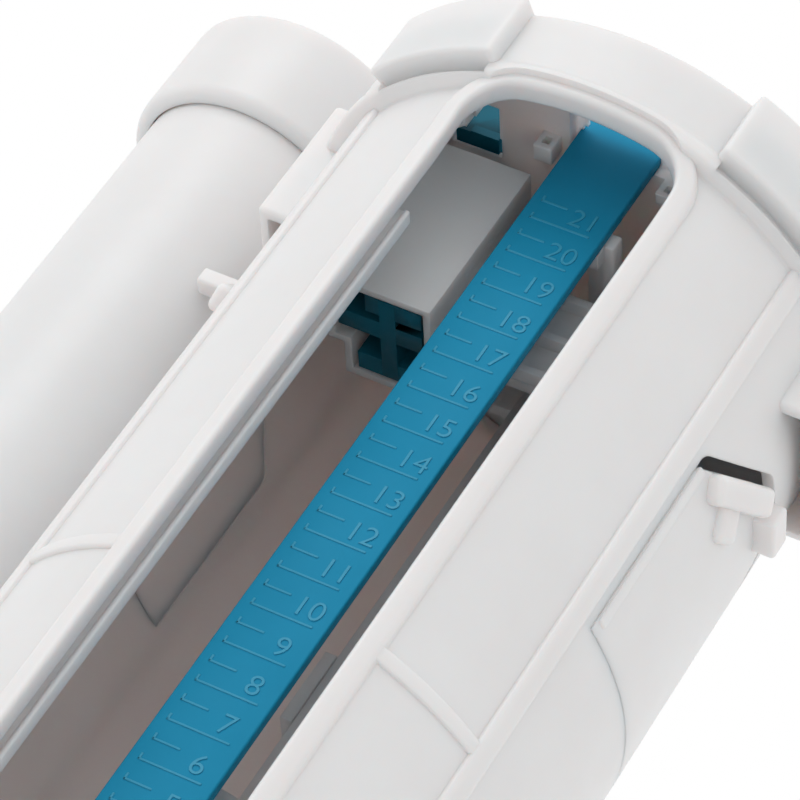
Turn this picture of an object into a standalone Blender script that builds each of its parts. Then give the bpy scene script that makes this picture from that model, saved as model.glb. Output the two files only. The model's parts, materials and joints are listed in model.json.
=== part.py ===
"""Dual-flush outlet valve for a toilet cistern, modelled as an assembly of separate pieces.

Frame: metres, +Z up, the tower's axis is Z, the long front window faces -Y and the overflow
pipe stands at -X.  Z = 0 is the cistern floor that the flange gasket presses on.
"""
import math

import bmesh
import bpy
from mathutils import Matrix, Vector

MM = 0.001
GAP = 0.3            # running and seating gap between neighbouring pieces
STEPS = 60           # facets round the tower
BASE_STEPS = 32      # facets round the base, its clamp and the seal
PIPE_STEPS = 40      # facets round the overflow pipe
SMALL_STEPS = 20     # facets round pins and bosses

# Tank connection, all in millimetres
GASKET_T = 6.0
FLANGE_T = 6.0
SHANK_R = 43.0
SHANK_BORE_R = SHANK_R - 6.0
SHANK_LEN = 45.0
SEAT_TOP = 26.0
SEAT_WALL = 3.0
SEAT_LIP_R = SHANK_BORE_R + 2.0
SPIGOT_H = 12.0
SPIGOT_WALL = 2.6
NUT_R = SHANK_R + 11.0
NUT_H = 14.0
NUT_TOP = -12.0
NUT_LUGS = 8
NUT_LUG = 5.0
NUT_WASHER_T = 2.2
GUIDE_HUB_R = 8.5
GUIDE_ARMS = 3
GUIDE_ARM_T = 3.0
GUIDE_TOP = 8.0
GUIDE_H = 18.0
REACH = 20.0         # how far a cutter runs past what it cuts
WELD_GAP = 0.001      # points closer than this are one

# Tower
PANEL_R = 57.7
FLANGE_R = PANEL_R + 4.3
GASKET_R = FLANGE_R - 2.0
WALL = 2.6
RIM_Z = 298.0
COLLAR_H = 19.6
COLLAR_R = PANEL_R + 3.3
COLLAR_WALL = 3.0
RIM_CHAMFER = 1.6
BEAD = 0.5
BEAD_H = 2.4
SHOULDER_DROP = 17.0
WINDOW_HALF = 22.9
WINDOW_TOP = RIM_Z - 20.0
WINDOW_BOTTOM = 92.0
WINDOW_CORNER = 9.0
BORDER_W = 5.2
BORDER_PROUD = 1.7
BORDER_DEPTH = 9.0
BORDER_HEAD_DEPTH = 5.0
RAIL_T = 3.0
RAIL_PROUD = 2.0
RAIL_TOP = RIM_Z - 50.0
RIB_AZIMUTH = 56.2
RIB_W = 5.0
RIB_PROUD = 1.2
CROSS_RIB_Z = 147.4
CROSS_RIB_H = 3.4
CROSS_RIB_PROUD = 0.9
INLETS = 6
INLET_W = 34.0
INLET_Z0 = 36.0
INLET_Z1 = 76.0
POCKETS = 4
POCKET_PHASE = 49.7
POCKET_SPAN = 43.4
POCKET_PROUD = 4.2
POCKET_WALL = 1.8
POCKET_H = 17.5
POCKET_SLOT = 2.2
PAD_BOTTOM = RIM_Z - 41.0
PAD_TOP = RIM_Z - 8.0
PAD_ROOM_TOP = RIM_Z - 22.0
PAD_REACH = PANEL_R + 4.8
PAD_HALF = 19.6
PAD_WALL = 2.3
PIPE_REST_Y = 2.0
PIPE_REST_T = 4.6
PIPE_REST_Z = RIM_Z - 47.0
PIPE_REST_H = 4.0
PIPE_REST_GAP = 0.8

# Side latches
LATCH_HALF = 27.6
LATCH_CREST = 8.0
LATCH_ROOT = RIM_Z - 113.0
LATCH_SHOULDER = RIM_Z - 69.0
LATCH_TOP = RIM_Z - 52.2
LATCH_SLOT = 0.6
LATCH_HEAD_SLOT = 3.4
GRIP_LEN = 19.5
GRIP_INSET = 1.0
GRIP_ROOT = 1.2
GRIP_LOW = 0.15
GRIP_H = 5.2
GRIP_PROUD = 4.0
GRIP_ROUND = 1.4
THUMB_HALF = 5.0
THUMB_H = 6.3
THUMB_PROUD = 4.6

# Overflow pipe
PIPE_R = 25.3
PIPE_DISTANCE = PANEL_R + PIPE_R + 12.2
PIPE_AZIMUTH = 163.7
PIPE_WALL = 2.2
PIPE_TOP = RIM_Z + 22.0
PIPE_COLLAR_R = PIPE_R + 3.8
PIPE_COLLAR_Z0 = RIM_Z - 1.7
PIPE_COLLAR_Z1 = RIM_Z + 23.2
PIPE_COLLAR_LIP = 1.6
PIPE_COLLAR_ROUND = 3.0
SOCKET_WALL = 3.2
SOCKET_TOP = 34.0
SOCKET_FLOOR_T = 2.8
PIPE_SEAL_T = 3.0
DUCT_HALF = 14.0
DUCT_TOP = 23.0
DUCT_WALL = 2.4

# Head mechanism
SLEEVE_X0 = 14.8
SLEEVE_X1 = 38.6
SLEEVE_Y0 = -25.0
SLEEVE_Y1 = 2.0
SLEEVE_STEP_X = 35.0
SLEEVE_STEP_Y = -7.0
SLEEVE_WALL = 1.6
SLEEVE_TOP = RIM_Z - 12.5
FULL_SLEEVE_BOTTOM = RIM_Z - 55.0
HALF_SLEEVE_BOTTOM = RIM_Z - 74.0
FRAME_RING_IN = PANEL_R - 11.7
FRAME_RING_T = 3.2
FRAME_GAP_HALF = 27.0
WEB_Y = -12.0
WEB_T = 4.0
WEB_DROP = 12.0
BEAM_Y0 = 23.0
BEAM_T = 3.0
BEAM_H = 20.0
COVER_T = 4.0
COVER_DROP = 1.0
COVER_SKIRT_T = 2.4
LUG_H = 6.0
LUG_SPAN = 30.0

# Plungers and rockers
PRESS = 8.0
PLUNGER_TOP = RIM_Z + 12.0
STEM_GAP = 0.7
BAR_T = 4.6
STEM_WEB_T = 3.6
ARM_W = 6.0
ARM_T = 6.0
ROCKER_T = 5.0
ROCKER_SWING = 38.2
LIFT_MARGIN = 0.1
PIN_R = 2.0
FULL_PIVOT_X = -16.0
HALF_PIVOT_X = 18.0
PIVOT_Z = RIM_Z - 22.0
INPUT_ARM = 12.0
FULL_OUTPUT_ARM = 24.0
HALF_OUTPUT_ARM = 18.0
FULL_PLANE_Y = 4.0
HALF_PLANE_Y = 16.0
ROCKER_W = 5.0

# Lift train
ROD_HALF = 9.0
ROD_T = 2.6
ROD_FACE_Y = -31.0
ROD_BOTTOM = 78.0
ROD_TOP = RIM_Z + 5.0
CROSSHEAD_T = 4.2
CROSSHEAD_W = 6.0
CROSSHEAD_PLATE_T = 4.0
FOOT_H = 14.0
CLIP_T = 2.6
SPINDLE_R = 8.0
SPINDLE_BORE_R = 5.5
SPINDLE_TOP = 134.0
SPINDLE_COLLAR_R = 9.9
SPINDLE_COLLAR_T = 4.0
STEM_R = 4.2
STEM_BOTTOM = -6.0
SEAL_R = SEAT_LIP_R + 4.5
SEAL_T = 3.0
RETAINER_R = SEAL_R - 9.5
RETAINER_T = 4.5
FULL_FLOAT_R = 30.0
FULL_FLOAT_H = 30.0
FULL_FLOAT_Z = 44.0
FLOAT_WALL = 1.8
HALF_ROD_W = 8.0
HALF_ROD_T = 4.5
HALF_ROD_GAP = 1.0
DOG_W = 20.0
DOG_T = 3.5
HALF_FLOAT_Z = 158.0
HALF_FLOAT_H = 34.0
HALF_FLOAT_X0 = -6.0
HALF_FLOAT_X1 = 26.0
HALF_FLOAT_D = 24.0

WHITE = (0.86, 0.86, 0.86, 1.0)
TEAL = (0.023, 0.258, 0.434, 1.0)
RUBBER = (0.03, 0.03, 0.032, 1.0)
SILICONE = (0.62, 0.64, 0.66, 1.0)

PART_COLLECTION = "dual_flush_valve"
CUTTER_COLLECTION = "cutters"


def clear_scene():
    """Remove every object, then make the two collections."""
    for obj in list(bpy.data.objects):
        bpy.data.objects.remove(obj, do_unlink=True)
    for name in (PART_COLLECTION, CUTTER_COLLECTION):
        bpy.context.scene.collection.children.link(bpy.data.collections.new(name))


def material(name, colour, roughness, metallic=0.0):
    """A Principled material of one plain colour."""
    mat = bpy.data.materials.new(name)
    mat.use_nodes = True
    shader = mat.node_tree.nodes["Principled BSDF"]
    shader.inputs["Base Color"].default_value = colour
    shader.inputs["Roughness"].default_value = roughness
    shader.inputs["Metallic"].default_value = metallic
    return mat


def add_mesh(name, mesh, cutter=False):
    """Link a mesh as a part, or as a hidden cutter."""
    obj = bpy.data.objects.new(name, mesh)
    group = CUTTER_COLLECTION if cutter else PART_COLLECTION
    bpy.data.collections[group].objects.link(obj)
    if cutter:
        obj.hide_render = True
        obj.display_type = "WIRE"
    return obj


def finish(obj, mat, smooth_angle=35.0):
    """Give a part its material and smooth shading with sharp corners."""
    obj.data.materials.append(mat)
    obj.data.shade_smooth()
    obj.data.set_sharp_from_angle(angle=math.radians(smooth_angle))
    return obj


def box(name, x, y, z, cutter=False, bevel=0.0, turn=0.0):
    """A block between two limits on each axis, in millimetres, turned about Z by degrees."""
    mesh = bpy.data.meshes.new(name)
    bm = bmesh.new()
    bmesh.ops.create_cube(bm, size=1.0)
    size = Vector((x[1] - x[0], y[1] - y[0], z[1] - z[0])) * MM
    middle = Vector((x[1] + x[0], y[1] + y[0], z[1] + z[0])) * (MM / 2)
    spin = Matrix.Rotation(math.radians(turn), 4, "Z")
    bm.transform(spin @ Matrix.Translation(middle) @ Matrix.Diagonal(size).to_4x4())
    bm.to_mesh(mesh)
    bm.free()
    obj = add_mesh(name, mesh, cutter)
    if bevel:
        round_edges(obj, bevel)
    return obj


def round_edges(obj, width, segments=2, angle=40.0):
    """Round the sharp edges of a piece."""
    mod = obj.modifiers.new("round", "BEVEL")
    mod.width = width * MM
    mod.segments = segments
    mod.limit_method = "ANGLE"
    mod.angle_limit = math.radians(angle)
    return mod


def turned(name, profile, steps=STEPS, centre=(0.0, 0.0), cutter=False):
    """Turn a closed (radius, height) profile, outer side first from the top, about a vertical axis."""
    mesh = bpy.data.meshes.new(name)
    points = [(r * MM, 0.0, z * MM) for r, z in profile]
    edges = [(i, (i + 1) % len(points)) for i in range(len(points))]
    mesh.from_pydata(points, edges, [])
    obj = add_mesh(name, mesh, cutter)
    obj.location = (centre[0] * MM, centre[1] * MM, 0.0)
    mod = obj.modifiers.new("turn", "SCREW")
    mod.steps = steps
    mod.render_steps = steps
    mod.use_merge_vertices = True
    mod.merge_threshold = 0.00001
    mod.use_normal_calculate = False
    return obj


def ring(name, inner, outer, z0, z1, steps=STEPS, centre=(0.0, 0.0), cutter=False):
    """A plain turned ring."""
    profile = [(outer, z1), (outer, z0), (inner, z0), (inner, z1)]
    return turned(name, profile, steps, centre, cutter)


def cylinder(name, radius, start, end, steps=SMALL_STEPS, cutter=False):
    """A solid round bar between two points, in millimetres."""
    start, end = Vector(start), Vector(end)
    axis = end - start
    mesh = bpy.data.meshes.new(name)
    bm = bmesh.new()
    bmesh.ops.create_cone(bm, cap_ends=True, segments=steps, radius1=radius * MM,
                          radius2=radius * MM, depth=axis.length * MM)
    aim = axis.to_track_quat("Z", "Y").to_matrix().to_4x4()
    bm.transform(Matrix.Translation((start + end) * (MM / 2)) @ aim)
    bm.to_mesh(mesh)
    bm.free()
    return add_mesh(name, mesh, cutter)


def rounded_outline(half_width, z0, z1, radius, corner_steps=6):
    """Points of an upright rectangle with rounded corners, in the X-Z plane."""
    centres = [(half_width - radius, z1 - radius, 0), (radius - half_width, z1 - radius, 90),
               (radius - half_width, z0 + radius, 180), (half_width - radius, z0 + radius, 270)]
    points = []
    for cx, cz, start in centres:
        for i in range(corner_steps + 1):
            angle = math.radians(start + 90.0 * i / corner_steps)
            points.append((cx + radius * math.cos(angle), cz + radius * math.sin(angle)))
    return points


def front_prism(name, outline, y0, y1, cutter=True):
    """A flat X-Z outline drawn out along Y."""
    mesh = bpy.data.meshes.new(name)
    bm = bmesh.new()
    face = bm.faces.new([bm.verts.new((x * MM, y0 * MM, z * MM)) for x, z in outline])
    swept = bmesh.ops.extrude_face_region(bm, geom=[face])
    moved = [v for v in swept["geom"] if isinstance(v, bmesh.types.BMVert)]
    bmesh.ops.translate(bm, verts=moved, vec=(0.0, (y1 - y0) * MM, 0.0))
    bmesh.ops.recalc_face_normals(bm, faces=bm.faces)
    bm.to_mesh(mesh)
    bm.free()
    return add_mesh(name, mesh, cutter)


def combine(target, other, operation):
    """Boolean one piece with another, which becomes a hidden cutter."""
    if other.name not in bpy.data.collections[CUTTER_COLLECTION].objects:
        bpy.data.collections[PART_COLLECTION].objects.unlink(other)
        bpy.data.collections[CUTTER_COLLECTION].objects.link(other)
        other.hide_render = True
        other.display_type = "WIRE"
    mod = target.modifiers.new(operation.lower(), "BOOLEAN")
    mod.operation = operation
    mod.object = other
    mod.solver = "EXACT"
    return target


def cut(target, *others):
    for other in others:
        combine(target, other, "DIFFERENCE")
    return target


def weld(target):
    """Make one point of those that a cut leaves on top of each other."""
    target.modifiers.new("weld", "WELD").merge_threshold = WELD_GAP * MM
    return target


def join(target, *others):
    for other in others:
        combine(target, other, "UNION")
    return target


def keep(target, other):
    return combine(target, other, "INTERSECT")


def mirrored(sign, low, high):
    """X limits on the left (-1) or the right (+1) of the tower."""
    return (low, high) if sign > 0 else (-high, -low)


def pipe_centre(z=0.0):
    """A point on the overflow pipe's axis."""
    turn = math.radians(PIPE_AZIMUTH)
    return (PIPE_DISTANCE * math.cos(turn), PIPE_DISTANCE * math.sin(turn), z)


def flange_levels():
    """Underside and top of the base flange."""
    under = GASKET_T + GAP
    return under, under + FLANGE_T


def build_base(white):
    """Flange, seat, shank, spindle guide, spigot for the tower and socket for the overflow pipe."""
    under, top = flange_levels()
    seat_r = SHANK_BORE_R + SEAT_WALL
    profile = [(SEAT_LIP_R, SEAT_TOP), (seat_r, SEAT_TOP - SEAT_WALL), (seat_r, top),
               (FLANGE_R, top), (FLANGE_R, under), (SHANK_R, under), (SHANK_R, -SHANK_LEN),
               (SHANK_BORE_R, -SHANK_LEN), (SHANK_BORE_R, SEAT_TOP)]
    base = turned("valve_base", profile, BASE_STEPS)
    spigot_r = PANEL_R - WALL - GAP
    spigot_in = spigot_r - SPIGOT_WALL
    join(base, ring("base_spigot", spigot_in, spigot_r, under + 1, top + SPIGOT_H, BASE_STEPS))
    socket_in = PIPE_R + GAP
    socket_r = socket_in + SOCKET_WALL
    socket = cylinder("base_socket", socket_r, pipe_centre(under), pipe_centre(SOCKET_TOP), PIPE_STEPS)
    join(base, socket)
    join(base, box("base_duct", (SHANK_BORE_R + 1, PIPE_DISTANCE), (-DUCT_HALF, DUCT_HALF),
                   (under + 0.5, DUCT_TOP), turn=PIPE_AZIMUTH))
    floor = under + SOCKET_FLOOR_T
    cut(base, cylinder("base_socket_bore", socket_in, pipe_centre(floor), pipe_centre(SOCKET_TOP + REACH),
                       PIPE_STEPS, True))
    inner = DUCT_HALF - DUCT_WALL
    cut(base, box("base_duct_bore", (SHANK_BORE_R - 4, PIPE_DISTANCE), (-inner, inner),
                  (floor + 0.2, DUCT_TOP - DUCT_WALL), True, turn=PIPE_AZIMUTH))
    hub_z = (GUIDE_TOP - GUIDE_H, GUIDE_TOP)
    for i in range(GUIDE_ARMS):
        half = GUIDE_ARM_T / 2
        arm = box(f"base_guide_arm_{i}", (GUIDE_HUB_R - 2, SHANK_BORE_R + 2), (-half, half),
                  (hub_z[0] + 1, hub_z[1] - 2), turn=360.0 * i / GUIDE_ARMS)
        join(base, arm)
    join(base, ring("base_guide_hub", STEM_R + GAP, GUIDE_HUB_R, *hub_z, SMALL_STEPS))
    return finish(base, white)


def build_tank_clamp(white, rubber):
    """Gasket above the cistern floor, slip washer and lock nut below it."""
    bore = SHANK_R + GAP
    gasket = ring("flange_gasket", bore, GASKET_R, 0.0, GASKET_T, BASE_STEPS)
    finish(gasket, rubber)
    washer_z = NUT_TOP + GAP
    finish(ring("nut_washer", bore, NUT_R, washer_z, washer_z + NUT_WASHER_T, BASE_STEPS), white)
    nut = ring("lock_nut", bore, NUT_R, NUT_TOP - NUT_H, NUT_TOP, BASE_STEPS)
    for i in range(NUT_LUGS):
        lug = box(f"nut_lug_{i}", (NUT_R - 2, NUT_R + NUT_LUG), (-NUT_LUG, NUT_LUG),
                  (NUT_TOP - NUT_H + 0.5, NUT_TOP - 2), turn=360.0 * (i + 0.5) / NUT_LUGS)
        join(nut, lug)
    finish(nut, white)


def tower_patch(name, proud, depth, z0, z1, limiter):
    """A raised patch of the tower's skin, as wide as the limiter that trims it."""
    patch = ring(name, PANEL_R - depth, PANEL_R + proud, z0, z1)
    return keep(patch, limiter)


def latch_outline(side_gap, head_gap):
    """Points of a side latch seen from its side, in Y and Z, grown by a gap at its edges."""
    half = LATCH_HALF + side_gap
    root = LATCH_ROOT + GAP - side_gap / 2
    shoulder = LATCH_SHOULDER + head_gap
    crest = LATCH_TOP + head_gap
    return [(-half, root), (half, root), (half, shoulder), (LATCH_CREST, crest), (-LATCH_CREST, crest),
            (-half, shoulder)]


def side_prism(name, sign, outline, x0, x1):
    """A flat Y-Z outline drawn out along X on one side of the tower, as a cutter."""
    prism = front_prism(name, outline, -x1, -x0)
    prism.rotation_euler.z = math.radians(90.0 * sign)
    return prism


def slope_grip(name, sign, end):
    """A rounded finger grip along the front (-1) or rear (+1) slope of a latch's head."""
    crest_y, foot_y = LATCH_CREST + GRIP_INSET, LATCH_HALF
    crest_x = math.sqrt(PANEL_R ** 2 - crest_y ** 2)
    foot_x = math.sqrt(PANEL_R ** 2 - foot_y ** 2)
    run = math.hypot(foot_y - crest_y, crest_x - foot_x)
    slope = (LATCH_TOP - LATCH_SHOULDER) / (LATCH_HALF - LATCH_CREST)
    lean = math.atan2(slope * (foot_y - crest_y), run)
    yaw = math.atan2(crest_x - foot_x, foot_y - crest_y)
    along = (-GRIP_LEN, 0.0) if end < 0 else (0.0, GRIP_LEN)
    grip = box(name, mirrored(sign, -GRIP_ROOT, GRIP_PROUD), along, (-GRIP_H, -GRIP_LOW), bevel=GRIP_ROUND)
    place = Vector((sign * crest_x, end * crest_y, LATCH_TOP - slope * GRIP_INSET)) * MM
    turn = Matrix.Rotation(sign * end * yaw, 4, "Z") @ Matrix.Rotation(-end * lean, 4, "X")
    grip.matrix_world = Matrix.Translation(place) @ turn
    return grip


def pipe_rest_tip():
    """X of the free end of the lug that stands between the tower and the overflow pipe."""
    x, y = pipe_centre()[:2]
    offset = y - PIPE_REST_Y - PIPE_REST_T
    return x + math.sqrt(PIPE_R ** 2 - offset ** 2) + PIPE_REST_GAP


def build_pad(tower, sign, inside, collar_in):
    """A box-shaped housing on the tower's side, open at its bottom."""
    shoulder = RIM_Z - SHOULDER_DROP
    pad = box(f"pad_{sign}", mirrored(sign, PANEL_R - REACH, PAD_REACH), (-PAD_HALF, PAD_HALF),
              (PAD_BOTTOM, PAD_TOP), bevel=0.8)
    for label, radius, z0, z1 in (("low", inside, PAD_BOTTOM - REACH, shoulder - 0.4),
                                  ("high", collar_in, shoulder - 0.5, RIM_Z + REACH)):
        cut(pad, cylinder(f"pad_bore_{label}_{sign}", radius + 0.5, (0, 0, z0), (0, 0, z1), STEPS, True))
    join(tower, pad)
    inner = PAD_HALF - PAD_WALL
    limit = box(f"pad_room_limit_{sign}", mirrored(sign, PANEL_R - REACH, PAD_REACH - PAD_WALL),
                (-inner, inner), (0, RIM_Z), True)
    room = ring(f"pad_room_{sign}", PANEL_R - 0.3, PANEL_R + REACH, PAD_BOTTOM - 0.5, PAD_ROOM_TOP)
    cut(tower, keep(room, limit))


def build_tower(white):
    """The tower's round wall with its framed window, ribs, inlets, collar, pockets and ears."""
    bottom = flange_levels()[1] + GAP
    collar_z = RIM_Z - COLLAR_H
    shoulder = RIM_Z - SHOULDER_DROP
    inside = PANEL_R - WALL
    collar_in = COLLAR_R - COLLAR_WALL
    bead_r = COLLAR_R + BEAD
    profile = [(COLLAR_R - RIM_CHAMFER, RIM_Z), (COLLAR_R, RIM_Z - RIM_CHAMFER),
               (COLLAR_R, collar_z + BEAD_H + BEAD), (bead_r, collar_z + BEAD_H),
               (bead_r, collar_z + BEAD), (bead_r - BEAD, collar_z), (PANEL_R, collar_z - 1.0),
               (PANEL_R, bottom), (inside, bottom), (inside, shoulder), (collar_in, shoulder),
               (collar_in, RIM_Z)]
    tower = turned("tower_shell", profile)
    border_half = WINDOW_HALF + BORDER_W
    z0, z1 = WINDOW_BOTTOM - BORDER_W, WINDOW_TOP + BORDER_W
    outline = rounded_outline(border_half, z0, z1, WINDOW_CORNER + BORDER_W)
    limiter = front_prism("border_limit", outline, -PANEL_R - REACH, -REACH)
    join(tower, tower_patch("border", BORDER_PROUD, BORDER_DEPTH, z0 - 5, collar_z + 2.0, limiter))
    outward = (PANEL_R - REACH, PANEL_R + REACH)
    rib_x = PANEL_R * math.sin(math.radians(RIB_AZIMUTH)) - 0.95
    for sign in (-1, 1):
        for side, azimuth in (("front", RIB_AZIMUTH), ("rear", 180.0 - RIB_AZIMUTH)):
            name = f"rib_{side}_{sign}"
            limit = box(f"{name}_limit", outward, (-RIB_W / 2, RIB_W / 2), (z0, RIM_Z), True,
                        turn=sign * azimuth - 90.0)
            join(tower, tower_patch(name, RIB_PROUD, WALL / 2, z0, collar_z + 1.0, limit))
        cross = box(f"cross_limit_{sign}", mirrored(sign, border_half - 1, rib_x), (-PANEL_R - REACH, -REACH),
                    (CROSS_RIB_Z - REACH, CROSS_RIB_Z + REACH), True)
        half = CROSS_RIB_H / 2
        join(tower, tower_patch(f"cross_rib_{sign}", CROSS_RIB_PROUD, WALL / 2,
                                CROSS_RIB_Z - half, CROSS_RIB_Z + half, cross))
    pocket_z = RIM_Z - POCKET_H
    tall = (0, 2 * RIM_Z)
    pocket_half = COLLAR_R * math.sin(math.radians(POCKET_SPAN / 2))
    lug_r = COLLAR_R + POCKET_PROUD - POCKET_WALL
    for i in range(POCKETS):
        turn = POCKET_PHASE - 90.0 + 360.0 * i / POCKETS
        limit = box(f"pocket_limit_{i}", outward, (-pocket_half, pocket_half), tall, True, turn=turn)
        pocket = ring(f"pocket_{i}", collar_in + 0.5, COLLAR_R + POCKET_PROUD, pocket_z, RIM_Z - 0.4)
        join(tower, keep(pocket, limit))
        room_half = pocket_half - POCKET_WALL
        room = box(f"pocket_room_limit_{i}", outward, (-room_half, room_half), tall, True, turn=turn)
        slit = ring(f"pocket_slit_{i}", COLLAR_R - COLLAR_WALL / 2, COLLAR_R + REACH / 2,
                    pocket_z - POCKET_SLOT, pocket_z)
        cut(tower, keep(slit, limit))
        hollow = ring(f"pocket_room_{i}", collar_in - 1, lug_r, pocket_z + POCKET_WALL, RIM_Z + 2)
        cut(tower, keep(hollow, room))
    window = rounded_outline(WINDOW_HALF, WINDOW_BOTTOM, WINDOW_TOP, WINDOW_CORNER)
    cut(tower, front_prism("window", window, -PANEL_R - REACH, -REACH))
    weld(tower)
    for i in range(INLETS):
        outline = rounded_outline(INLET_W / 2, INLET_Z0, INLET_Z1, INLET_W / 4, 4)
        inlet = front_prism(f"inlet_{i}", outline, -PANEL_R - REACH, REACH - PANEL_R)
        inlet.rotation_euler.z = math.radians(360.0 * i / INLETS)
        cut(tower, inlet)
    duct = DUCT_HALF + 1.0
    cut(tower, box("duct_notch", outward, (-duct, duct), (bottom - 5, DUCT_TOP + 1), True,
                   turn=PIPE_AZIMUTH))
    for sign in (-1, 1):
        build_pad(tower, sign, inside, collar_in)
        outline = latch_outline(LATCH_SLOT, LATCH_HEAD_SLOT)
        cut(tower, side_prism(f"latch_slot_{sign}", sign, outline, PANEL_R - REACH, PANEL_R + REACH))
        edge = sorted((sign * (WINDOW_HALF - RAIL_PROUD), sign * (WINDOW_HALF + 1.0)))
        back = math.sqrt((PANEL_R - BORDER_DEPTH) ** 2 - WINDOW_HALF ** 2)
        join(tower, box(f"rail_{sign}", edge, (-back - RAIL_T, -back - 0.1), (WINDOW_BOTTOM - 1.0, RAIL_TOP)))
    join(tower, box("pipe_rest", (pipe_rest_tip(), 1.5 - PANEL_R), (PIPE_REST_Y, PIPE_REST_Y + PIPE_REST_T),
                    (PIPE_REST_Z, PIPE_REST_Z + PIPE_REST_H)))
    cut(tower, ring("border_head_room", PANEL_R - BORDER_DEPTH - 3.0, PANEL_R - BORDER_HEAD_DEPTH,
                    WINDOW_TOP - WINDOW_CORNER - 1.0, RIM_Z - COLLAR_H + 5.0, cutter=True))
    cut(tower, ring("tower_bore", 20.0, inside - 0.02, bottom - 1, WINDOW_BOTTOM - 12.0, cutter=True))
    return finish(tower, white)


def build_latch(name, sign, white):
    """A springy tongue in the tower's side, with a finger grip at its free end."""
    tongue = ring(name, PANEL_R - WALL, PANEL_R, LATCH_ROOT - REACH, LATCH_TOP + REACH)
    keep(tongue, side_prism(f"{name}_limit", sign, latch_outline(0.0, 0.0), PANEL_R - REACH, PANEL_R + REACH))
    join(tongue, slope_grip(f"{name}_grip_front", sign, -1), slope_grip(f"{name}_grip_rear", sign, 1))
    join(tongue, box(f"{name}_thumb", mirrored(sign, PANEL_R - 1.5, PANEL_R + THUMB_PROUD),
                     (-THUMB_HALF, THUMB_HALF), (LATCH_TOP - THUMB_H, LATCH_TOP - 0.2), bevel=0.6))
    return finish(tongue, white)


def build_overflow(white, rubber):
    """The overflow pipe, its wide mouth collar and the seal on the socket."""
    centre = pipe_centre()[:2]
    floor = flange_levels()[0] + SOCKET_FLOOR_T + GAP
    finish(ring("overflow_pipe", PIPE_R - PIPE_WALL, PIPE_R, floor, PIPE_TOP, PIPE_STEPS, centre), white)
    inner = PIPE_R + GAP
    r, z0, z1, rnd = PIPE_COLLAR_R, PIPE_COLLAR_Z0, PIPE_COLLAR_Z1, PIPE_COLLAR_ROUND
    lip = PIPE_R - PIPE_COLLAR_LIP
    arc = [math.radians(90.0 * i / 4) for i in range(5)]
    lower = [(r - rnd + rnd * math.cos(a), z0 + rnd - rnd * math.sin(a)) for a in arc]
    profile = [(r - 1.0, z1 + 1.6), (r, z1 + 0.6)] + lower
    profile += [(inner, z0), (inner, PIPE_TOP + GAP), (lip, PIPE_TOP + GAP), (lip, z1 + 1.6)]
    finish(turned("overflow_collar", profile, PIPE_STEPS, centre), white)
    seal_z = SOCKET_TOP + GAP
    seal = ring("overflow_seal", inner, inner + SOCKET_WALL, seal_z, seal_z + PIPE_SEAL_T, PIPE_STEPS, centre)
    finish(seal, rubber)


def sleeve_boxes(name, sign, bottom, inset, top, cutter=False):
    """The two overlapping blocks of a stepped plunger sleeve, or of its cavity."""
    x0, x1 = SLEEVE_X0 + inset, SLEEVE_X1 - inset
    front = box(f"{name}_front", mirrored(sign, x0, x1), (SLEEVE_Y0 + inset, SLEEVE_STEP_Y - inset + 0.2),
                (bottom, top), cutter)
    rear = box(f"{name}_rear", mirrored(sign, x0 + 0.01, SLEEVE_STEP_X - inset),
               (SLEEVE_STEP_Y - inset - 3, SLEEVE_Y1 - inset), (bottom, top), cutter)
    return front, rear


def build_head_frame(white):
    """The cartridge in the tower's top: open ring, two sleeves, side webs and the rear pin beam."""
    shoulder = RIM_Z - SHOULDER_DROP + GAP
    ring_top = shoulder + FRAME_RING_T
    ring_r = COLLAR_R - COLLAR_WALL - GAP
    frame = ring("head_frame", FRAME_RING_IN, ring_r, shoulder, ring_top)
    cut(frame, box("frame_front_gap", (-FRAME_GAP_HALF, FRAME_GAP_HALF), (-PANEL_R - REACH, -REACH),
                   (shoulder - REACH, ring_top + REACH), True))
    beam_x = math.sqrt((PANEL_R - WALL - 2.0) ** 2 - (BEAM_Y0 + BEAM_T) ** 2)
    join(frame, box("frame_beam", (-beam_x, beam_x), (BEAM_Y0, BEAM_Y0 + BEAM_T),
                    (ring_top - BEAM_H, ring_top - 0.1)))
    web_x = math.sqrt((PANEL_R - WALL - 2.0) ** 2 - (abs(WEB_Y) + WEB_T) ** 2)
    for sign, bottom in ((-1, FULL_SLEEVE_BOTTOM), (1, HALF_SLEEVE_BOTTOM)):
        join(frame, box(f"frame_web_{sign}", mirrored(sign, SLEEVE_X1 - 1, web_x),
                        (WEB_Y - WEB_T / 2, WEB_Y + WEB_T / 2), (ring_top - WEB_DROP, ring_top - 0.1)))
        join(frame, *sleeve_boxes(f"sleeve_{sign}", sign, bottom, 0.0, SLEEVE_TOP))
    for sign, bottom in ((-1, FULL_SLEEVE_BOTTOM), (1, HALF_SLEEVE_BOTTOM)):
        cut(frame, *sleeve_boxes(f"cavity_{sign}", sign, bottom - 5, SLEEVE_WALL, SLEEVE_TOP + 5, True))
    for pivot, sign in ((FULL_PIVOT_X, -1), (HALF_PIVOT_X, 1)):
        cut(frame, cylinder(f"pin_hole_{sign}", PIN_R + GAP, (pivot, SLEEVE_Y1 - 1, PIVOT_Z),
                            (pivot, BEAM_Y0 + BEAM_T + 2, PIVOT_Z), cutter=True))
        arm_x = pivot + sign * INPUT_ARM
        half = ARM_W / 2 + GAP + 0.2
        cut(frame, box(f"arm_notch_{sign}", (arm_x - half, arm_x + half), (SLEEVE_Y1 - 3.5, SLEEVE_Y1 + 2),
                       (arm_bottom() - PRESS - 0.8, SLEEVE_TOP + 2), True))
    return finish(frame, white)


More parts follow.
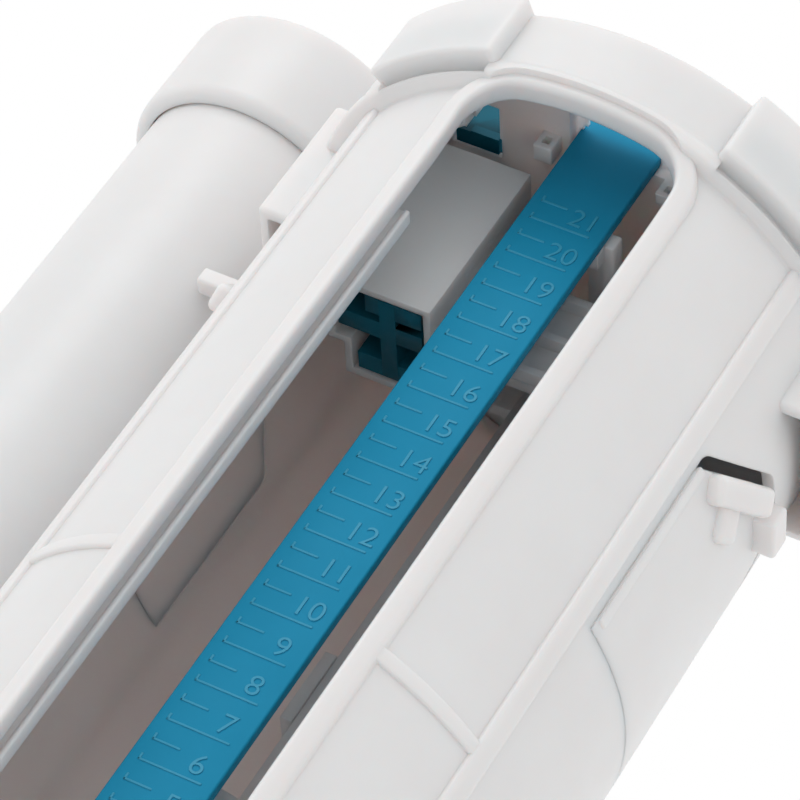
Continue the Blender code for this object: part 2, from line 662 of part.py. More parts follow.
def build_head_cover(white):
    """The disc that closes the tower's top, locked by lugs in the collar's pockets."""
    top = RIM_Z - COVER_DROP
    skirt_bottom = RIM_Z - SHOULDER_DROP + GAP + FRAME_RING_T + GAP
    r = COLLAR_R - COLLAR_WALL - GAP
    cover = turned("head_cover", [(0.0, top), (r, top), (r, skirt_bottom), (r - COVER_SKIRT_T, skirt_bottom),
                                  (r - COVER_SKIRT_T, top - COVER_T), (0.0, top - COVER_T)])
    lug_r = COLLAR_R + POCKET_PROUD - POCKET_WALL - GAP
    lug_half = COLLAR_R * math.sin(math.radians(LUG_SPAN / 2))
    lug_z = RIM_Z - POCKET_H + POCKET_WALL + GAP
    for i in range(POCKETS):
        turn = POCKET_PHASE - 90.0 + 360.0 * i / POCKETS
        limit = box(f"lug_limit_{i}", (r - REACH, r + REACH), (-lug_half, lug_half), (0, 2 * RIM_Z), True,
                    turn=turn)
        lug_bottom = max(lug_z, skirt_bottom + 0.5)
        join(cover, keep(ring(f"lug_{i}", r - 1.0, lug_r, lug_bottom, lug_bottom + LUG_H), limit))
    port_z = (top - COVER_T - REACH, top + REACH)
    for sign in (-1, 1):
        x0, x1 = SLEEVE_X0 + SLEEVE_WALL, SLEEVE_X1 - SLEEVE_WALL
        cut(cover, box(f"plunger_port_{sign}", mirrored(sign, x0, x1),
                       (SLEEVE_Y0 + SLEEVE_WALL, SLEEVE_Y1 - SLEEVE_WALL), port_z, True))
    half = ROD_HALF + STEM_GAP
    cut(cover, box("rod_port", (-half, half), (ROD_FACE_Y - STEM_GAP, ROD_FACE_Y + ROD_T + STEM_GAP),
                   port_z, True))
    return finish(cover, white)


def rocker_lean():
    """Angle of a rocker from level, at rest and, the other way, when pressed home."""
    return math.radians(ROCKER_SWING / 2)


def rocker_top(distance):
    """Height of a rocker's top face over its pivot, where it leans up at this distance."""
    lean = rocker_lean()
    return distance * math.tan(lean) + ROCKER_T / 2 / math.cos(lean)


def arm_bottom():
    """Underside of a plunger's rear arm, just clear of its rocker's raised input end."""
    return PIVOT_Z + rocker_top(INPUT_ARM + ARM_W / 2) + GAP


def lifted_bottom(output_arm):
    """Underside of a lifted piece, just clear of its rocker's lowered output end."""
    return PIVOT_Z + rocker_top(CROSSHEAD_W / 2 - output_arm) + GAP


def lift_of(output_arm):
    """Rise of a rocker's output end when its plunger is pressed home."""
    return 2.0 * output_arm * math.tan(rocker_lean()) + LIFT_MARGIN


def build_plunger(name, sign, sleeve_bottom, pivot, plane_y, teal):
    """A push plunger: head through the cover, ribbed stem in its sleeve, arm over its rocker."""
    x0, x1 = SLEEVE_X0 + SLEEVE_WALL + STEM_GAP, SLEEVE_X1 - SLEEVE_WALL - STEM_GAP
    xs = SLEEVE_STEP_X - SLEEVE_WALL - STEM_GAP
    y0, y1 = SLEEVE_Y0 + SLEEVE_WALL + STEM_GAP, SLEEVE_Y1 - SLEEVE_WALL - STEM_GAP
    stem_bottom = sleeve_bottom + 0.4
    head_bottom = SLEEVE_TOP + PRESS + 0.5
    middle = (x0 + xs) / 2
    mid_y = (y0 + SLEEVE_STEP_Y - SLEEVE_WALL) / 2 + 2.0
    web = STEM_WEB_T / 2
    plunger = box(name, mirrored(sign, middle - web, middle + web), (y0, y1), (stem_bottom, head_bottom + 1))
    bars = (("front", x0, xs, y0), ("middle", x0 + 0.02, x1, mid_y - BAR_T / 2),
            ("rear", x0 + 0.04, xs - 0.5, y1 - BAR_T))
    for label, low, high, y in bars:
        join(plunger, box(f"{name}_bar_{label}", mirrored(sign, low, high), (y + 0.01, y + BAR_T - 0.01),
                          (stem_bottom + 0.01, head_bottom + 0.9)))
    join(plunger, box(f"{name}_head", mirrored(sign, x0 + 0.1, xs - 0.2), (y0 + 0.3, y1 - 0.2),
                      (head_bottom, PLUNGER_TOP), bevel=1.2))
    arm_x = pivot + sign * INPUT_ARM
    half = ARM_W / 2
    z = arm_bottom()
    join(plunger, box(f"{name}_arm", (arm_x - half, arm_x + half), (y1 - BAR_T + 0.5, plane_y + ROCKER_W),
                      (z, z + ARM_T), bevel=0.6))
    return finish(plunger, teal)


def build_rocker(name, pivot, sign, output_arm, plane_y, teal):
    """A two-armed lever on a pin: pushed down by its plunger, it lifts its rod."""
    reach = output_arm + 3.0
    back = INPUT_ARM + 3.0
    x = (-reach, back) if sign > 0 else (-back, reach)
    rocker = box(name, x, (plane_y, plane_y + ROCKER_W), (-ROCKER_T / 2, ROCKER_T / 2), bevel=1.0)
    rear = plane_y + ROCKER_W
    join(rocker, cylinder(f"{name}_boss", PIN_R + 3.0, (0, plane_y - 0.6, 0), (0, rear + 0.6, 0)))
    cut(rocker, cylinder(f"{name}_bore", PIN_R + GAP, (0, plane_y - 5, 0), (0, rear + 5, 0), cutter=True))
    place = Vector((pivot, 0.0, PIVOT_Z)) * MM
    lean = -sign * rocker_lean()
    pose = Matrix.Translation(place) @ Matrix.Rotation(lean, 4, "Y")
    for obj in [rocker] + [m.object for m in rocker.modifiers if m.type == "BOOLEAN"]:
        obj.matrix_world = pose
    return finish(rocker, teal)


def build_pin(name, pivot, white):
    """A rocker's pivot pin, held by a sleeve's rear wall and by the rear beam."""
    start = (pivot, SLEEVE_Y1 - 0.8, PIVOT_Z)
    finish(cylinder(name, PIN_R, start, (pivot, BEAM_Y0 + BEAM_T, PIVOT_Z)), white)


def build_lift_train(white, teal, silicone):
    """Graduated rod, crosshead, foot, spindle, float and seal, which rise together."""
    back = ROD_FACE_Y + ROD_T
    rod = box("ruler_rod", (-ROD_HALF, ROD_HALF), (ROD_FACE_Y, back), (ROD_BOTTOM, ROD_TOP), bevel=0.5)
    finish(rod, teal)
    z0 = lifted_bottom(FULL_OUTPUT_ARM)
    tip_x = FULL_PIVOT_X + FULL_OUTPUT_ARM
    cross = box("lift_crosshead", (tip_x - CROSSHEAD_W / 2, tip_x + CROSSHEAD_W / 2),
                (back + GAP, FULL_PLANE_Y + ROCKER_W), (z0, z0 + CROSSHEAD_T), bevel=0.6)
    plate_y = (back + GAP + 0.01, back + GAP + CROSSHEAD_PLATE_T)
    plate_z = (z0 - 3.0, z0 + CROSSHEAD_T - 0.3)
    join(cross, box("cross_plate", (2.0 - ROD_HALF, tip_x + 1.0), plate_y, plate_z))
    room = ROD_HALF + GAP
    finish(cross, white)
    foot_z = (ROD_BOTTOM + 0.5, ROD_BOTTOM + 0.5 + FOOT_H)
    clip_r = SPINDLE_R + GAP
    foot = box("rod_foot", (-room - CLIP_T, room + CLIP_T),
               (ROD_FACE_Y - GAP - CLIP_T, back + GAP + CLIP_T), foot_z)
    join(foot, box("foot_arm", (-6.0, 6.0), (back, -SPINDLE_R), (foot_z[0] + 0.01, foot_z[1] - 0.01)))
    join(foot, cylinder("foot_ring", clip_r + CLIP_T, (0, 0, foot_z[0] + 0.02), (0, 0, foot_z[1] - 0.02)))
    cut(foot, box("foot_room", (-room, room), (ROD_FACE_Y - GAP, back + GAP), (0, 2 * foot_z[1]), True))
    cut(foot, cylinder("foot_bore", clip_r, (0, 0, 0), (0, 0, 2 * foot_z[1]), cutter=True))
    finish(foot, white)
    step = SEAT_TOP + GAP + SEAL_T
    collar_z = SPINDLE_TOP - SPINDLE_COLLAR_T
    spindle = turned("spindle", [(SPINDLE_COLLAR_R, SPINDLE_TOP), (SPINDLE_COLLAR_R, collar_z),
                                 (SPINDLE_R, collar_z), (SPINDLE_R, step + GAP), (STEM_R + 1.5, step + GAP),
                                 (STEM_R + 1.5, SEAT_TOP), (STEM_R, SEAT_TOP - 1.0), (STEM_R, STEM_BOTTOM),
                                 (0.0, STEM_BOTTOM), (0.0, step + 8.0), (SPINDLE_BORE_R, step + 8.0),
                                 (SPINDLE_BORE_R, SPINDLE_TOP)], SMALL_STEPS)
    finish(spindle, white)
    seal_in = STEM_R + 1.5 + GAP
    finish(ring("seal_disc", seal_in, SEAL_R, SEAT_TOP + GAP, SEAT_TOP + GAP + SEAL_T, BASE_STEPS), silicone)
    plate_z = step + GAP
    bore = SPINDLE_R + GAP
    plate = [(RETAINER_R - 3.0, plate_z + RETAINER_T), (RETAINER_R, plate_z + 1.5), (RETAINER_R, plate_z),
             (bore, plate_z), (bore, plate_z + RETAINER_T)]
    finish(turned("seal_retainer", plate, BASE_STEPS), white)
    top = FULL_FLOAT_Z + FULL_FLOAT_H
    z = FULL_FLOAT_Z
    r, w = FULL_FLOAT_R, FLOAT_WALL
    bell = [(r - 2.0, top), (r, top - 2.0), (r, z), (r - w, z), (r - w, top - w - 1.0),
            (bore + w, top - w - 1.0), (bore + w, z), (bore, z), (bore, top)]
    finish(turned("full_float", bell, BASE_STEPS), white)


def half_rod_limits():
    """Width and depth limits of the half-flush rod, beside its rocker."""
    middle = HALF_PIVOT_X - HALF_OUTPUT_ARM
    back = HALF_PLANE_Y - HALF_ROD_GAP
    return (middle - HALF_ROD_W / 2, middle + HALF_ROD_W / 2), (back - HALF_ROD_T, back)


def build_half_train(white):
    """The half-flush rod with its lifting dog, and the float that slides on it."""
    x, y = half_rod_limits()
    middle = (x[0] + x[1]) / 2
    z_top = lifted_bottom(HALF_OUTPUT_ARM)
    dog_top = SPINDLE_TOP - SPINDLE_COLLAR_T - lift_of(HALF_OUTPUT_ARM) - GAP
    rod = box("half_rod", x, y, (dog_top - DOG_T, z_top + CROSSHEAD_T))
    half = CROSSHEAD_W / 2
    join(rod, box("half_rod_peg", (middle - half, middle + half), (y[0] + 0.5, HALF_PLANE_Y + ROCKER_W),
                  (z_top, z_top + CROSSHEAD_T - 0.01)))
    join(rod, box("half_rod_dog", (middle - DOG_W / 2, middle + DOG_W / 2), (SPINDLE_R + 0.9, y[1] - 0.01),
                  (dog_top - DOG_T + 0.01, dog_top)))
    finish(rod, white)
    float_y = (y[1] + GAP, y[1] + GAP + HALF_FLOAT_D)
    z = (HALF_FLOAT_Z, HALF_FLOAT_Z + HALF_FLOAT_H)
    body = box("half_float", (HALF_FLOAT_X0, HALF_FLOAT_X1), float_y, z, bevel=2.0)
    for side, edge in ((-1, x[0] - GAP), (1, x[1] + GAP)):
        limits = sorted((edge, edge + side * CLIP_T))
        join(body, box(f"float_clip_{side}", limits, (y[0], float_y[0] + 3), (z[0] + 8, z[1] - 8)))
    w = FLOAT_WALL
    cut(body, box("float_room", (HALF_FLOAT_X0 + w, HALF_FLOAT_X1 - w), (float_y[0] + w, float_y[1] - w),
                  (z[0] - 2, z[1] - w), True))
    finish(body, white)


def main():
    clear_scene()
    white = material("white_polypropylene", WHITE, 0.35)
    teal = material("teal_acetal", TEAL, 0.4)
    rubber = material("black_rubber", RUBBER, 0.7)
    silicone = material("grey_silicone", SILICONE, 0.5)
    build_base(white)
    build_tank_clamp(white, rubber)
    build_tower(white)
    build_latch("latch_left", -1, white)
    build_latch("latch_right", 1, white)
    build_overflow(white, rubber)
    build_head_frame(white)
    build_head_cover(white)
    build_plunger("full_plunger", -1, FULL_SLEEVE_BOTTOM, FULL_PIVOT_X, FULL_PLANE_Y, teal)
    build_plunger("half_plunger", 1, HALF_SLEEVE_BOTTOM, HALF_PIVOT_X, HALF_PLANE_Y, teal)
    build_rocker("full_rocker", FULL_PIVOT_X, -1, FULL_OUTPUT_ARM, FULL_PLANE_Y, teal)
    build_rocker("half_rocker", HALF_PIVOT_X, 1, HALF_OUTPUT_ARM, HALF_PLANE_Y, teal)
    build_pin("full_rocker_pin", FULL_PIVOT_X, white)
    build_pin("half_rocker_pin", HALF_PIVOT_X, white)
    build_lift_train(white, teal, silicone)
    build_half_train(white)


main()
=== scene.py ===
"""Looks of a dual-flush cistern outlet valve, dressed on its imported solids.

All sizes in the classes are millimetres in the part's frame: +Z up along the tower, the long
window towards -Y and the overflow pipe towards -X.  Meshes are made in metres.
"""
from __future__ import annotations

import json
import logging
import math
from dataclasses import dataclass, replace
from enum import Enum
from typing import Iterable, Sequence

import bmesh
import bpy
from mathutils import Euler, Matrix, Vector

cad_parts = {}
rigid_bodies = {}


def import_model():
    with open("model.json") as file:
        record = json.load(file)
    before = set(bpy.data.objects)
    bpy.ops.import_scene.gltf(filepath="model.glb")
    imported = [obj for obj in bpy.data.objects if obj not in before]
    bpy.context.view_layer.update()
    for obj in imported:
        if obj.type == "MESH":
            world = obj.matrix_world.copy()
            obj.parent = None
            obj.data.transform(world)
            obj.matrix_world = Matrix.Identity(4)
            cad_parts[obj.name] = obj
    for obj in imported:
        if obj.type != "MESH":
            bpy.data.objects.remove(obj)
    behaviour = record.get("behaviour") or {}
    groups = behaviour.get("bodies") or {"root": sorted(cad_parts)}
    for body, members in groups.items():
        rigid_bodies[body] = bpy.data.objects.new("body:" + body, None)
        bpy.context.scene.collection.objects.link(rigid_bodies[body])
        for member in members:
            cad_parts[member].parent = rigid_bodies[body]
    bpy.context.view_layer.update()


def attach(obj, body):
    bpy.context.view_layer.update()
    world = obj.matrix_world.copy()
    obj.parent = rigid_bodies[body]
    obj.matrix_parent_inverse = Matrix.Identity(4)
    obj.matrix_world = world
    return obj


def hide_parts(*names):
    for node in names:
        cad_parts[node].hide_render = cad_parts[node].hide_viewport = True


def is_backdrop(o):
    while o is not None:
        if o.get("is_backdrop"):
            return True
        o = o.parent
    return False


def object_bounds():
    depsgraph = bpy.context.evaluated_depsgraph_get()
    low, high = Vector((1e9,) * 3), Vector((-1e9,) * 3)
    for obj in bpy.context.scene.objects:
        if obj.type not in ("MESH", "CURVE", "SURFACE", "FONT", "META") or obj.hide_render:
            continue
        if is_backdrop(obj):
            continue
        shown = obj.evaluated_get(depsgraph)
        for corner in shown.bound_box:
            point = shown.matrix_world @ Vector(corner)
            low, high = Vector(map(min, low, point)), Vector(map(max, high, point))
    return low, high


LOG = logging.getLogger("valve")
MM = 0.001

# Angles are degrees; azimuths count from the window, which lies this far from +X.
AZIMUTH_ZERO = -90.0
SMOOTH_ANGLE = 32.0
ROUND_ANGLE = 40.0
SHARP_ANGLE = 50.0
FLAT_ANGLE = 0.4

FILLET_SEGMENTS = 4
SHEET_SEGMENTS = 12
ROUND_SEGMENTS = 2
MERGE_DISTANCE = 1e-6
PLANE_DISTANCE = 1e-7

PLASTIC_IOR = 1.49
BLEED_RADII = (1.0, 0.74, 0.66)
NOISE_ROUGHNESS = 0.55
# A noise field is cells per metre and octaves.
MOTTLE_NOISE = (42.0, 3.0)
MOTTLE_STOPS = (0.36, 0.64)
GLOSS_NOISE = (75.0, 4.0)
GLOSS_SPAN = (0.3, 0.7)
WAVE_NOISE = (38.0, 1.0)
WAVE_STRENGTH = 0.35
SKIN_OCTAVES = 2.0
SKIN_STRENGTH = 0.3
CORNER_SAMPLES = 6

Mesh = bmesh.types.BMesh
Piece = bpy.types.Object
Tree = bpy.types.NodeTree
Node = bpy.types.Node
Corner = tuple[float, float, float]
Limits = tuple[float, float]
Port = tuple[Limits, Limits]
Box = tuple[Limits, Limits, Limits]


class Operation(Enum):
    """How one solid works on another."""

    ADD = "UNION"
    CUT = "DIFFERENCE"
    KEEP = "INTERSECT"


Step = tuple[Operation, Piece]


class Side(Enum):
    """Left or right of the tower, seen from its window."""

    LEFT = -1
    RIGHT = 1

    def limits(self, low: float, high: float) -> Limits:
        """X limits of something that lies between two distances on this side.

        Args:
            low: The nearer distance from the tower's axis.
            high: The farther distance.

        Returns:
            The two limits in rising order.
        """
        return (low, high) if self is Side.RIGHT else (-high, -low)


class Grain(Enum):
    """How fine the skin of a material is, as noise cells per metre."""

    GLOSSY = 900.0
    SATIN = 2600.0
    RUBBERY = 1500.0


@dataclass(frozen=True)
class Finish:
    """A moulded material with a mottled colour, an uneven gloss and softened corners."""

    name: str
    slot: str
    colour: tuple[float, float, float]
    shade: tuple[float, float, float]
    roughness: Limits
    grain: Grain
    grain_depth: float
    wave_depth: float
    corner: float
    subsurface: float = 0.0
    glow: float = 5.0
    specular: float = 0.5

    def build(self) -> bpy.types.Material:
        """Make the node material.

        Returns:
            The material, ready for a slot.
        """
        mat = bpy.data.materials.new(self.name)
        mat.use_nodes = True
        tree = mat.node_tree
        shader = tree.nodes["Principled BSDF"]
        place = tree.nodes.new("ShaderNodeTexCoord")
        self._colour(tree, shader, place)
        self._gloss(tree, shader, place)
        self._skin(tree, shader, place)
        shader.inputs["IOR"].default_value = PLASTIC_IOR
        shader.inputs["Subsurface Weight"].default_value = self.subsurface
        shader.inputs["Subsurface Radius"].default_value = BLEED_RADII
        shader.inputs["Subsurface Scale"].default_value = self.glow * MM
        shader.inputs["Specular IOR Level"].default_value = self.specular
        return mat

    def _noise(self, tree: Tree, place: Node, scale: float, detail: float) -> Node:
        """A noise field on the piece's own coordinates.

        Args:
            tree: The material's nodes.
            place: The texture coordinate node.
            scale: Cells per metre.
            detail: Octaves.

        Returns:
            The noise node.
        """
        noise = tree.nodes.new("ShaderNodeTexNoise")
        noise.inputs["Scale"].default_value = scale
        noise.inputs["Detail"].default_value = detail
        noise.inputs["Roughness"].default_value = NOISE_ROUGHNESS
        tree.links.new(place.outputs["Object"], noise.inputs["Vector"])
        return noise

    def _colour(self, tree: Tree, shader: Node, place: Node) -> None:
        """Mottle the colour faintly, as pigment does in a moulding.

        Args:
            tree: The material's nodes.
            shader: The surface shader.
            place: The texture coordinate node.
        """
        noise = self._noise(tree, place, *MOTTLE_NOISE)
        ramp = tree.nodes.new("ShaderNodeValToRGB")
        stops = ramp.color_ramp.elements
        for stop, position, colour in zip(stops, MOTTLE_STOPS, (self.shade, self.colour)):
            stop.position = position
            stop.color = (*colour, 1.0)
        tree.links.new(noise.outputs["Fac"], ramp.inputs["Fac"])
        tree.links.new(ramp.outputs["Color"], shader.inputs["Base Color"])

    def _gloss(self, tree: Tree, shader: Node, place: Node) -> None:
        """Let the gloss wander between two roughness values.

        Args:
            tree: The material's nodes.
            shader: The surface shader.
            place: The texture coordinate node.
        """
        noise = self._noise(tree, place, *GLOSS_NOISE)
        span = tree.nodes.new("ShaderNodeMapRange")
        ends = ("From Min", "From Max", "To Min", "To Max")
        for end, value in zip(ends, (*GLOSS_SPAN, *self.roughness)):
            span.inputs[end].default_value = value
        tree.links.new(noise.outputs["Fac"], span.inputs["Value"])
        tree.links.new(span.outputs["Result"], shader.inputs["Roughness"])

    def _skin(self, tree: Tree, shader: Node, place: Node) -> None:
        """Soft corners, slow mould waves and a fine skin, one over the other.

        Args:
            tree: The material's nodes.
            shader: The surface shader.
            place: The texture coordinate node.
        """
        edge = tree.nodes.new("ShaderNodeBevel")
        edge.samples = CORNER_SAMPLES
        edge.inputs["Radius"].default_value = self.corner * MM
        normal = edge.outputs["Normal"]
        layers = ((WAVE_NOISE, WAVE_STRENGTH, self.wave_depth),
                  ((self.grain.value, SKIN_OCTAVES), SKIN_STRENGTH, self.grain_depth))
        for field, strength, depth in layers:
            noise = self._noise(tree, place, *field)
            bump = tree.nodes.new("ShaderNodeBump")
            bump.inputs["Strength"].default_value = strength
            bump.inputs["Distance"].default_value = depth * MM
            tree.links.new(noise.outputs["Fac"], bump.inputs["Height"])
            tree.links.new(normal, bump.inputs["Normal"])
            normal = bump.outputs["Normal"]
        tree.links.new(normal, shader.inputs["Normal"])


WHITE = Finish("white_polypropylene", "white_plastic", (0.834, 0.817, 0.815), (0.819, 0.799, 0.796),
               (0.30, 0.40), Grain.GLOSSY, 0.012, 0.08, 0.5, subsurface=0.68)
WHITE_SHARP = replace(WHITE, name="white_polypropylene_fine", wave_depth=0.05, corner=0.3)
WHITE_TONGUE = replace(WHITE, name="white_polypropylene_tongue", corner=0.04)
TEAL = Finish("teal_acetal", "teal_plastic", (0.0130, 0.300, 0.515), (0.0120, 0.284, 0.490), (0.46, 0.56),
              Grain.SATIN, 0.010, 0.04, 0.15, specular=0.12)
# Painted shade: a darker teal that stands for the shade on the plungers and rockers inside the head.
TEAL_PAINTED_SHADE = replace(TEAL, name="teal_plastic_deep", colour=(0.0085, 0.145, 0.215),
                    shade=(0.0075, 0.130, 0.195), roughness=(0.42, 0.52), specular=0.15)
# Painted highlight: a lighter, glossier teal on the rod's marks and numbers that stands for light catching
# their raised edges.
TEAL_PAINTED_HIGHLIGHT = replace(TEAL, name="teal_acetal_rubbed", colour=(0.045, 0.370, 0.570),
                      shade=(0.036, 0.345, 0.535), roughness=(0.42, 0.52), wave_depth=0.03, corner=0.08,
                      specular=0.3)
RUBBER = Finish("black_rubber", "rubber", (0.030, 0.030, 0.032), (0.022, 0.022, 0.024), (0.62, 0.76),
                Grain.RUBBERY, 0.030, 0.05, 0.4)
SILICONE = Finish("grey_silicone", "silicone", (0.56, 0.58, 0.60), (0.53, 0.55, 0.57), (0.42, 0.52),
                  Grain.RUBBERY, 0.012, 0.05, 0.3, subsurface=0.25)


class Bench:
    """Makes, joins, dresses and mounts the pieces."""

    def __init__(self) -> None:
        """Start with no finished material."""
        self._materials: dict[str, bpy.types.Material] = {}

    def material(self, finish: Finish) -> bpy.types.Material:
        """The material of a finish, made once.

        Args:
            finish: What to make it from.

        Returns:
            The Blender material.
        """
        if finish.name not in self._materials:
            self._materials[finish.name] = finish.build()
        return self._materials[finish.name]

    def solid(self, name: str, bm: Mesh) -> Piece:
        """Turn a bmesh into an object and free it.

        Args:
            name: The object's name.
            bm: The finished bmesh.

        Returns:
            The linked object at the origin.
        """
        open_edges = sum(1 for e in bm.edges if len(e.link_faces) != 2)
        if open_edges:
            LOG.warning("%s has %d open edges", name, open_edges)
        mesh = bpy.data.meshes.new(name)
        bm.to_mesh(mesh)
        bm.free()
        obj = bpy.data.objects.new(name, mesh)
        bpy.context.scene.collection.objects.link(obj)
        return obj

    def tools(self, operation: Operation, shapes: Iterable[Mesh]) -> list[Step]:
        """Steps that do the same thing with each of some shapes.

        Args:
            operation: What to do.
            shapes: The shapes, in order.

        Returns:
            The steps for work().
        """
        return [(operation, self.solid("tool", bm)) for bm in shapes]

    def work(self, target: Piece, steps: Iterable[Step]) -> Piece:
        """Join, cut or trim a solid with others, which are used up.

        Args:
            target: The solid that stays.
            steps: What to do, in order.

        Returns:
            The target with its new mesh.
        """
        tools = []
        for operation, tool in steps:
            mod = target.modifiers.new(operation.name.lower(), "BOOLEAN")
            mod.operation = operation.value
            mod.solver = "MANIFOLD"
            mod.object = tool
            tools.append(tool)
        self._settle(target)
        for tool in tools:
            data = tool.data
            bpy.data.objects.remove(tool)
            bpy.data.meshes.remove(data)
        return target

    def rounded(self, obj: Piece, edge: float) -> Piece:
        """Round a finished solid's sharp edges.

        Args:
            obj: The solid.
            edge: Rounding radius.

        Returns:
            The same object with its new mesh.
        """
        mod = obj.modifiers.new("edges", "BEVEL")
        mod.width = edge * MM
        mod.segments = ROUND_SEGMENTS
        mod.limit_method = "ANGLE"
        mod.angle_limit = math.radians(ROUND_ANGLE)
        mod.harden_normals = False
        return self._settle(obj)

    def _settle(self, obj: Piece) -> Piece:
        """Swap a piece's mesh for the one that its modifiers make.

        Args:
            obj: The piece.

        Returns:
            The same object without modifiers.
        """
        graph = bpy.context.evaluated_depsgraph_get()
        mesh = bpy.data.meshes.new_from_object(obj.evaluated_get(graph))
        obj.modifiers.clear()
        old = obj.data
        obj.data = mesh
        bpy.data.meshes.remove(old)
        mesh.name = obj.name
        return obj

    def dress(self, obj: Piece, finish: Finish, body: str, *nodes: str) -> Piece:
        """Give a piece its finish, its body and the solids that it stands for.

        Args:
            obj: The piece.
            finish: Its finish.
            body: The body it moves with.
            nodes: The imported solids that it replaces.

        Returns:
            The piece.
        """
        obj.data.materials.clear()
        obj.data.materials.append(self.material(finish))
        obj.data.shade_smooth()
        obj.data.set_sharp_from_angle(angle=math.radians(SMOOTH_ANGLE))
        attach(obj, body)
        if nodes:
            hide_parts(*nodes)
        LOG.info("%s: %d faces on %s", obj.name, len(obj.data.polygons), body)
        return obj

    def piece(self, node: str, bm: Mesh, finish: Finish, body: str, steps: Sequence[Step] = ()) -> Piece:
        """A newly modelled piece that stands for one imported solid.

        Args:
            node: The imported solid.
            bm: The piece's first shape.
            finish: Its finish.
            body: The body it moves with.
            steps: What is joined to it or cut from it.

        Returns:
            The dressed piece.
        """
        obj = self.solid(f"{node}_look", bm)
        if steps:
            self.work(obj, steps)
        return self.dress(obj, finish, body, node)

    def softened(self, node: str, body: str, finish: Finish, edge: float,
                 steps: Sequence[Step] = ()) -> Piece:
        """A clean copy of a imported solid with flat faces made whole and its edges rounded.

        Args:
            node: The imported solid.
            body: The body it moves with.
            finish: Its finish.
            edge: Rounding of its edges.
            steps: What is joined to it or cut from it first.

        Returns:
            The piece that stands for the solid.
        """
        bm = bmesh.new()
        bm.from_mesh(bpy.data.objects[node].data)
        bmesh.ops.remove_doubles(bm, verts=bm.verts[:], dist=MERGE_DISTANCE)
        bmesh.ops.dissolve_limit(bm, angle_limit=math.radians(FLAT_ANGLE), verts=bm.verts[:],
                                 edges=bm.edges[:])
        obj = self.solid(f"{node}_look", bm)
        if steps:
            self.work(obj, steps)
        self.rounded(obj, edge)
        return self.dress(obj, finish, body, node)


def everything(bm: Mesh) -> list:
    """All of a bmesh's parts, as its operators take them."""
    return bm.verts[:] + bm.edges[:] + bm.faces[:]


def flat_face(bm: Mesh, spots: Iterable[Corner]) -> list[bmesh.types.BMVert]:
    """Add one flat face.

    Args:
        bm: Where to make it.
        spots: Its corners in millimetres.

    Returns:
        Its corners.
    """
    verts = [bm.verts.new([c * MM for c in spot]) for spot in spots]
    bm.faces.new(verts)
    return verts


def fillet(bm: Mesh, verts: Sequence[bmesh.types.BMVert], radius: float, segments: int) -> None:
    """Round corners of a flat face.

    Args:
        bm: Where the face is.
        verts: The corners.
        radius: Their new radius.
        segments: Facets for each.
    """
    bmesh.ops.bevel(bm, geom=list(verts), offset=radius * MM, offset_type="OFFSET", affect="VERTICES",
                    segments=segments, profile=0.5, material=-1)


def filleted_face(bm: Mesh, spots: Sequence[Corner], radii: Sequence[float]) -> None:
    """Add one flat face with a fillet of its own at each corner.

    Args:
        bm: Where to make it.
        spots: Its corners in millimetres.
        radii: The fillet of each corner, or 0.
    """
    for vert, radius in zip(flat_face(bm, spots), radii):
        if radius:
            fillet(bm, [vert], radius, FILLET_SEGMENTS)


def profile_face(bm: Mesh, corners: Sequence[Corner]) -> None:
    """Add a radius-height face with filleted corners in the X-Z plane.

    Args:
        bm: Where to make it.
        corners: Radius, height and fillet of each corner.
    """
    filleted_face(bm, [(r, 0.0, z) for r, z, _ in corners], [f for _, _, f in corners])


def ring_profile(radii: Limits, z: Limits, outer: float = 0.0, inner: float = 0.0) -> list[Corner]:
    """The section of a plain ring.

    Args:
        radii: Its inner and outer radius.
        z: Its lower and upper face.
        outer: Fillet of its outer corners.
        inner: Fillet of its inner corners.

    Returns:
        Radius, height and fillet of each corner.
    """
    bore, rim = radii
    low, high = z
    return [(rim, high, outer), (rim, low, outer), (bore, low, inner), (bore, high, inner)]


def spun(bm: Mesh, geom: list, angle: float, steps: int, rise: float = 0.0, whole: bool = False) -> None:
    """Spin parts of a bmesh about the upright axis through the origin.

    Args:
        bm: The bmesh.
        geom: What is spun.
        angle: How far, in radians.
        steps: Facets along the way.
        rise: Metres upwards for each step.
        whole: True where the end meets the start.
    """
    bmesh.ops.spin(bm, geom=geom, cent=(0, 0, 0), axis=(0, 0, 1), dvec=(0.0, 0.0, rise), angle=angle,
                   steps=steps, use_merge=whole, use_duplicate=False)


def draw_out(bm: Mesh, vec: Corner) -> None:
    """Extrude a flat sheet into a solid.

    Args:
        bm: The sheet.
        vec: How far and where to, in metres.
    """
    swept = bmesh.ops.extrude_face_region(bm, geom=bm.faces[:])
    moved = [v for v in swept["geom"] if isinstance(v, bmesh.types.BMVert)]
    bmesh.ops.translate(bm, verts=moved, vec=vec)
    bmesh.ops.recalc_face_normals(bm, faces=bm.faces[:])


def turned(corners: Sequence[Corner], steps: int, centre: Limits = (0.0, 0.0)) -> Mesh:
    """A ring turned about an upright axis from a filleted profile.

    Args:
        corners: Radius, height and fillet of each corner.
        steps: Facets round the axis.
        centre: X and Y of the axis.

    Returns:
        The closed bmesh.
    """
    bm = bmesh.new()
    profile_face(bm, corners)
    bmesh.ops.delete(bm, geom=bm.faces[:], context="FACES_ONLY")
    spun(bm, bm.verts[:] + bm.edges[:], math.tau, steps, whole=True)
    bmesh.ops.remove_doubles(bm, verts=bm.verts[:], dist=MERGE_DISTANCE)
    bmesh.ops.dissolve_degenerate(bm, edges=bm.edges[:], dist=MERGE_DISTANCE)
    bmesh.ops.delete(bm, geom=[e for e in bm.edges if not e.link_faces], context="EDGES")
    bmesh.ops.recalc_face_normals(bm, faces=bm.faces[:])
    bm.transform(Matrix.Translation((centre[0] * MM, centre[1] * MM, 0.0)))
    return bm


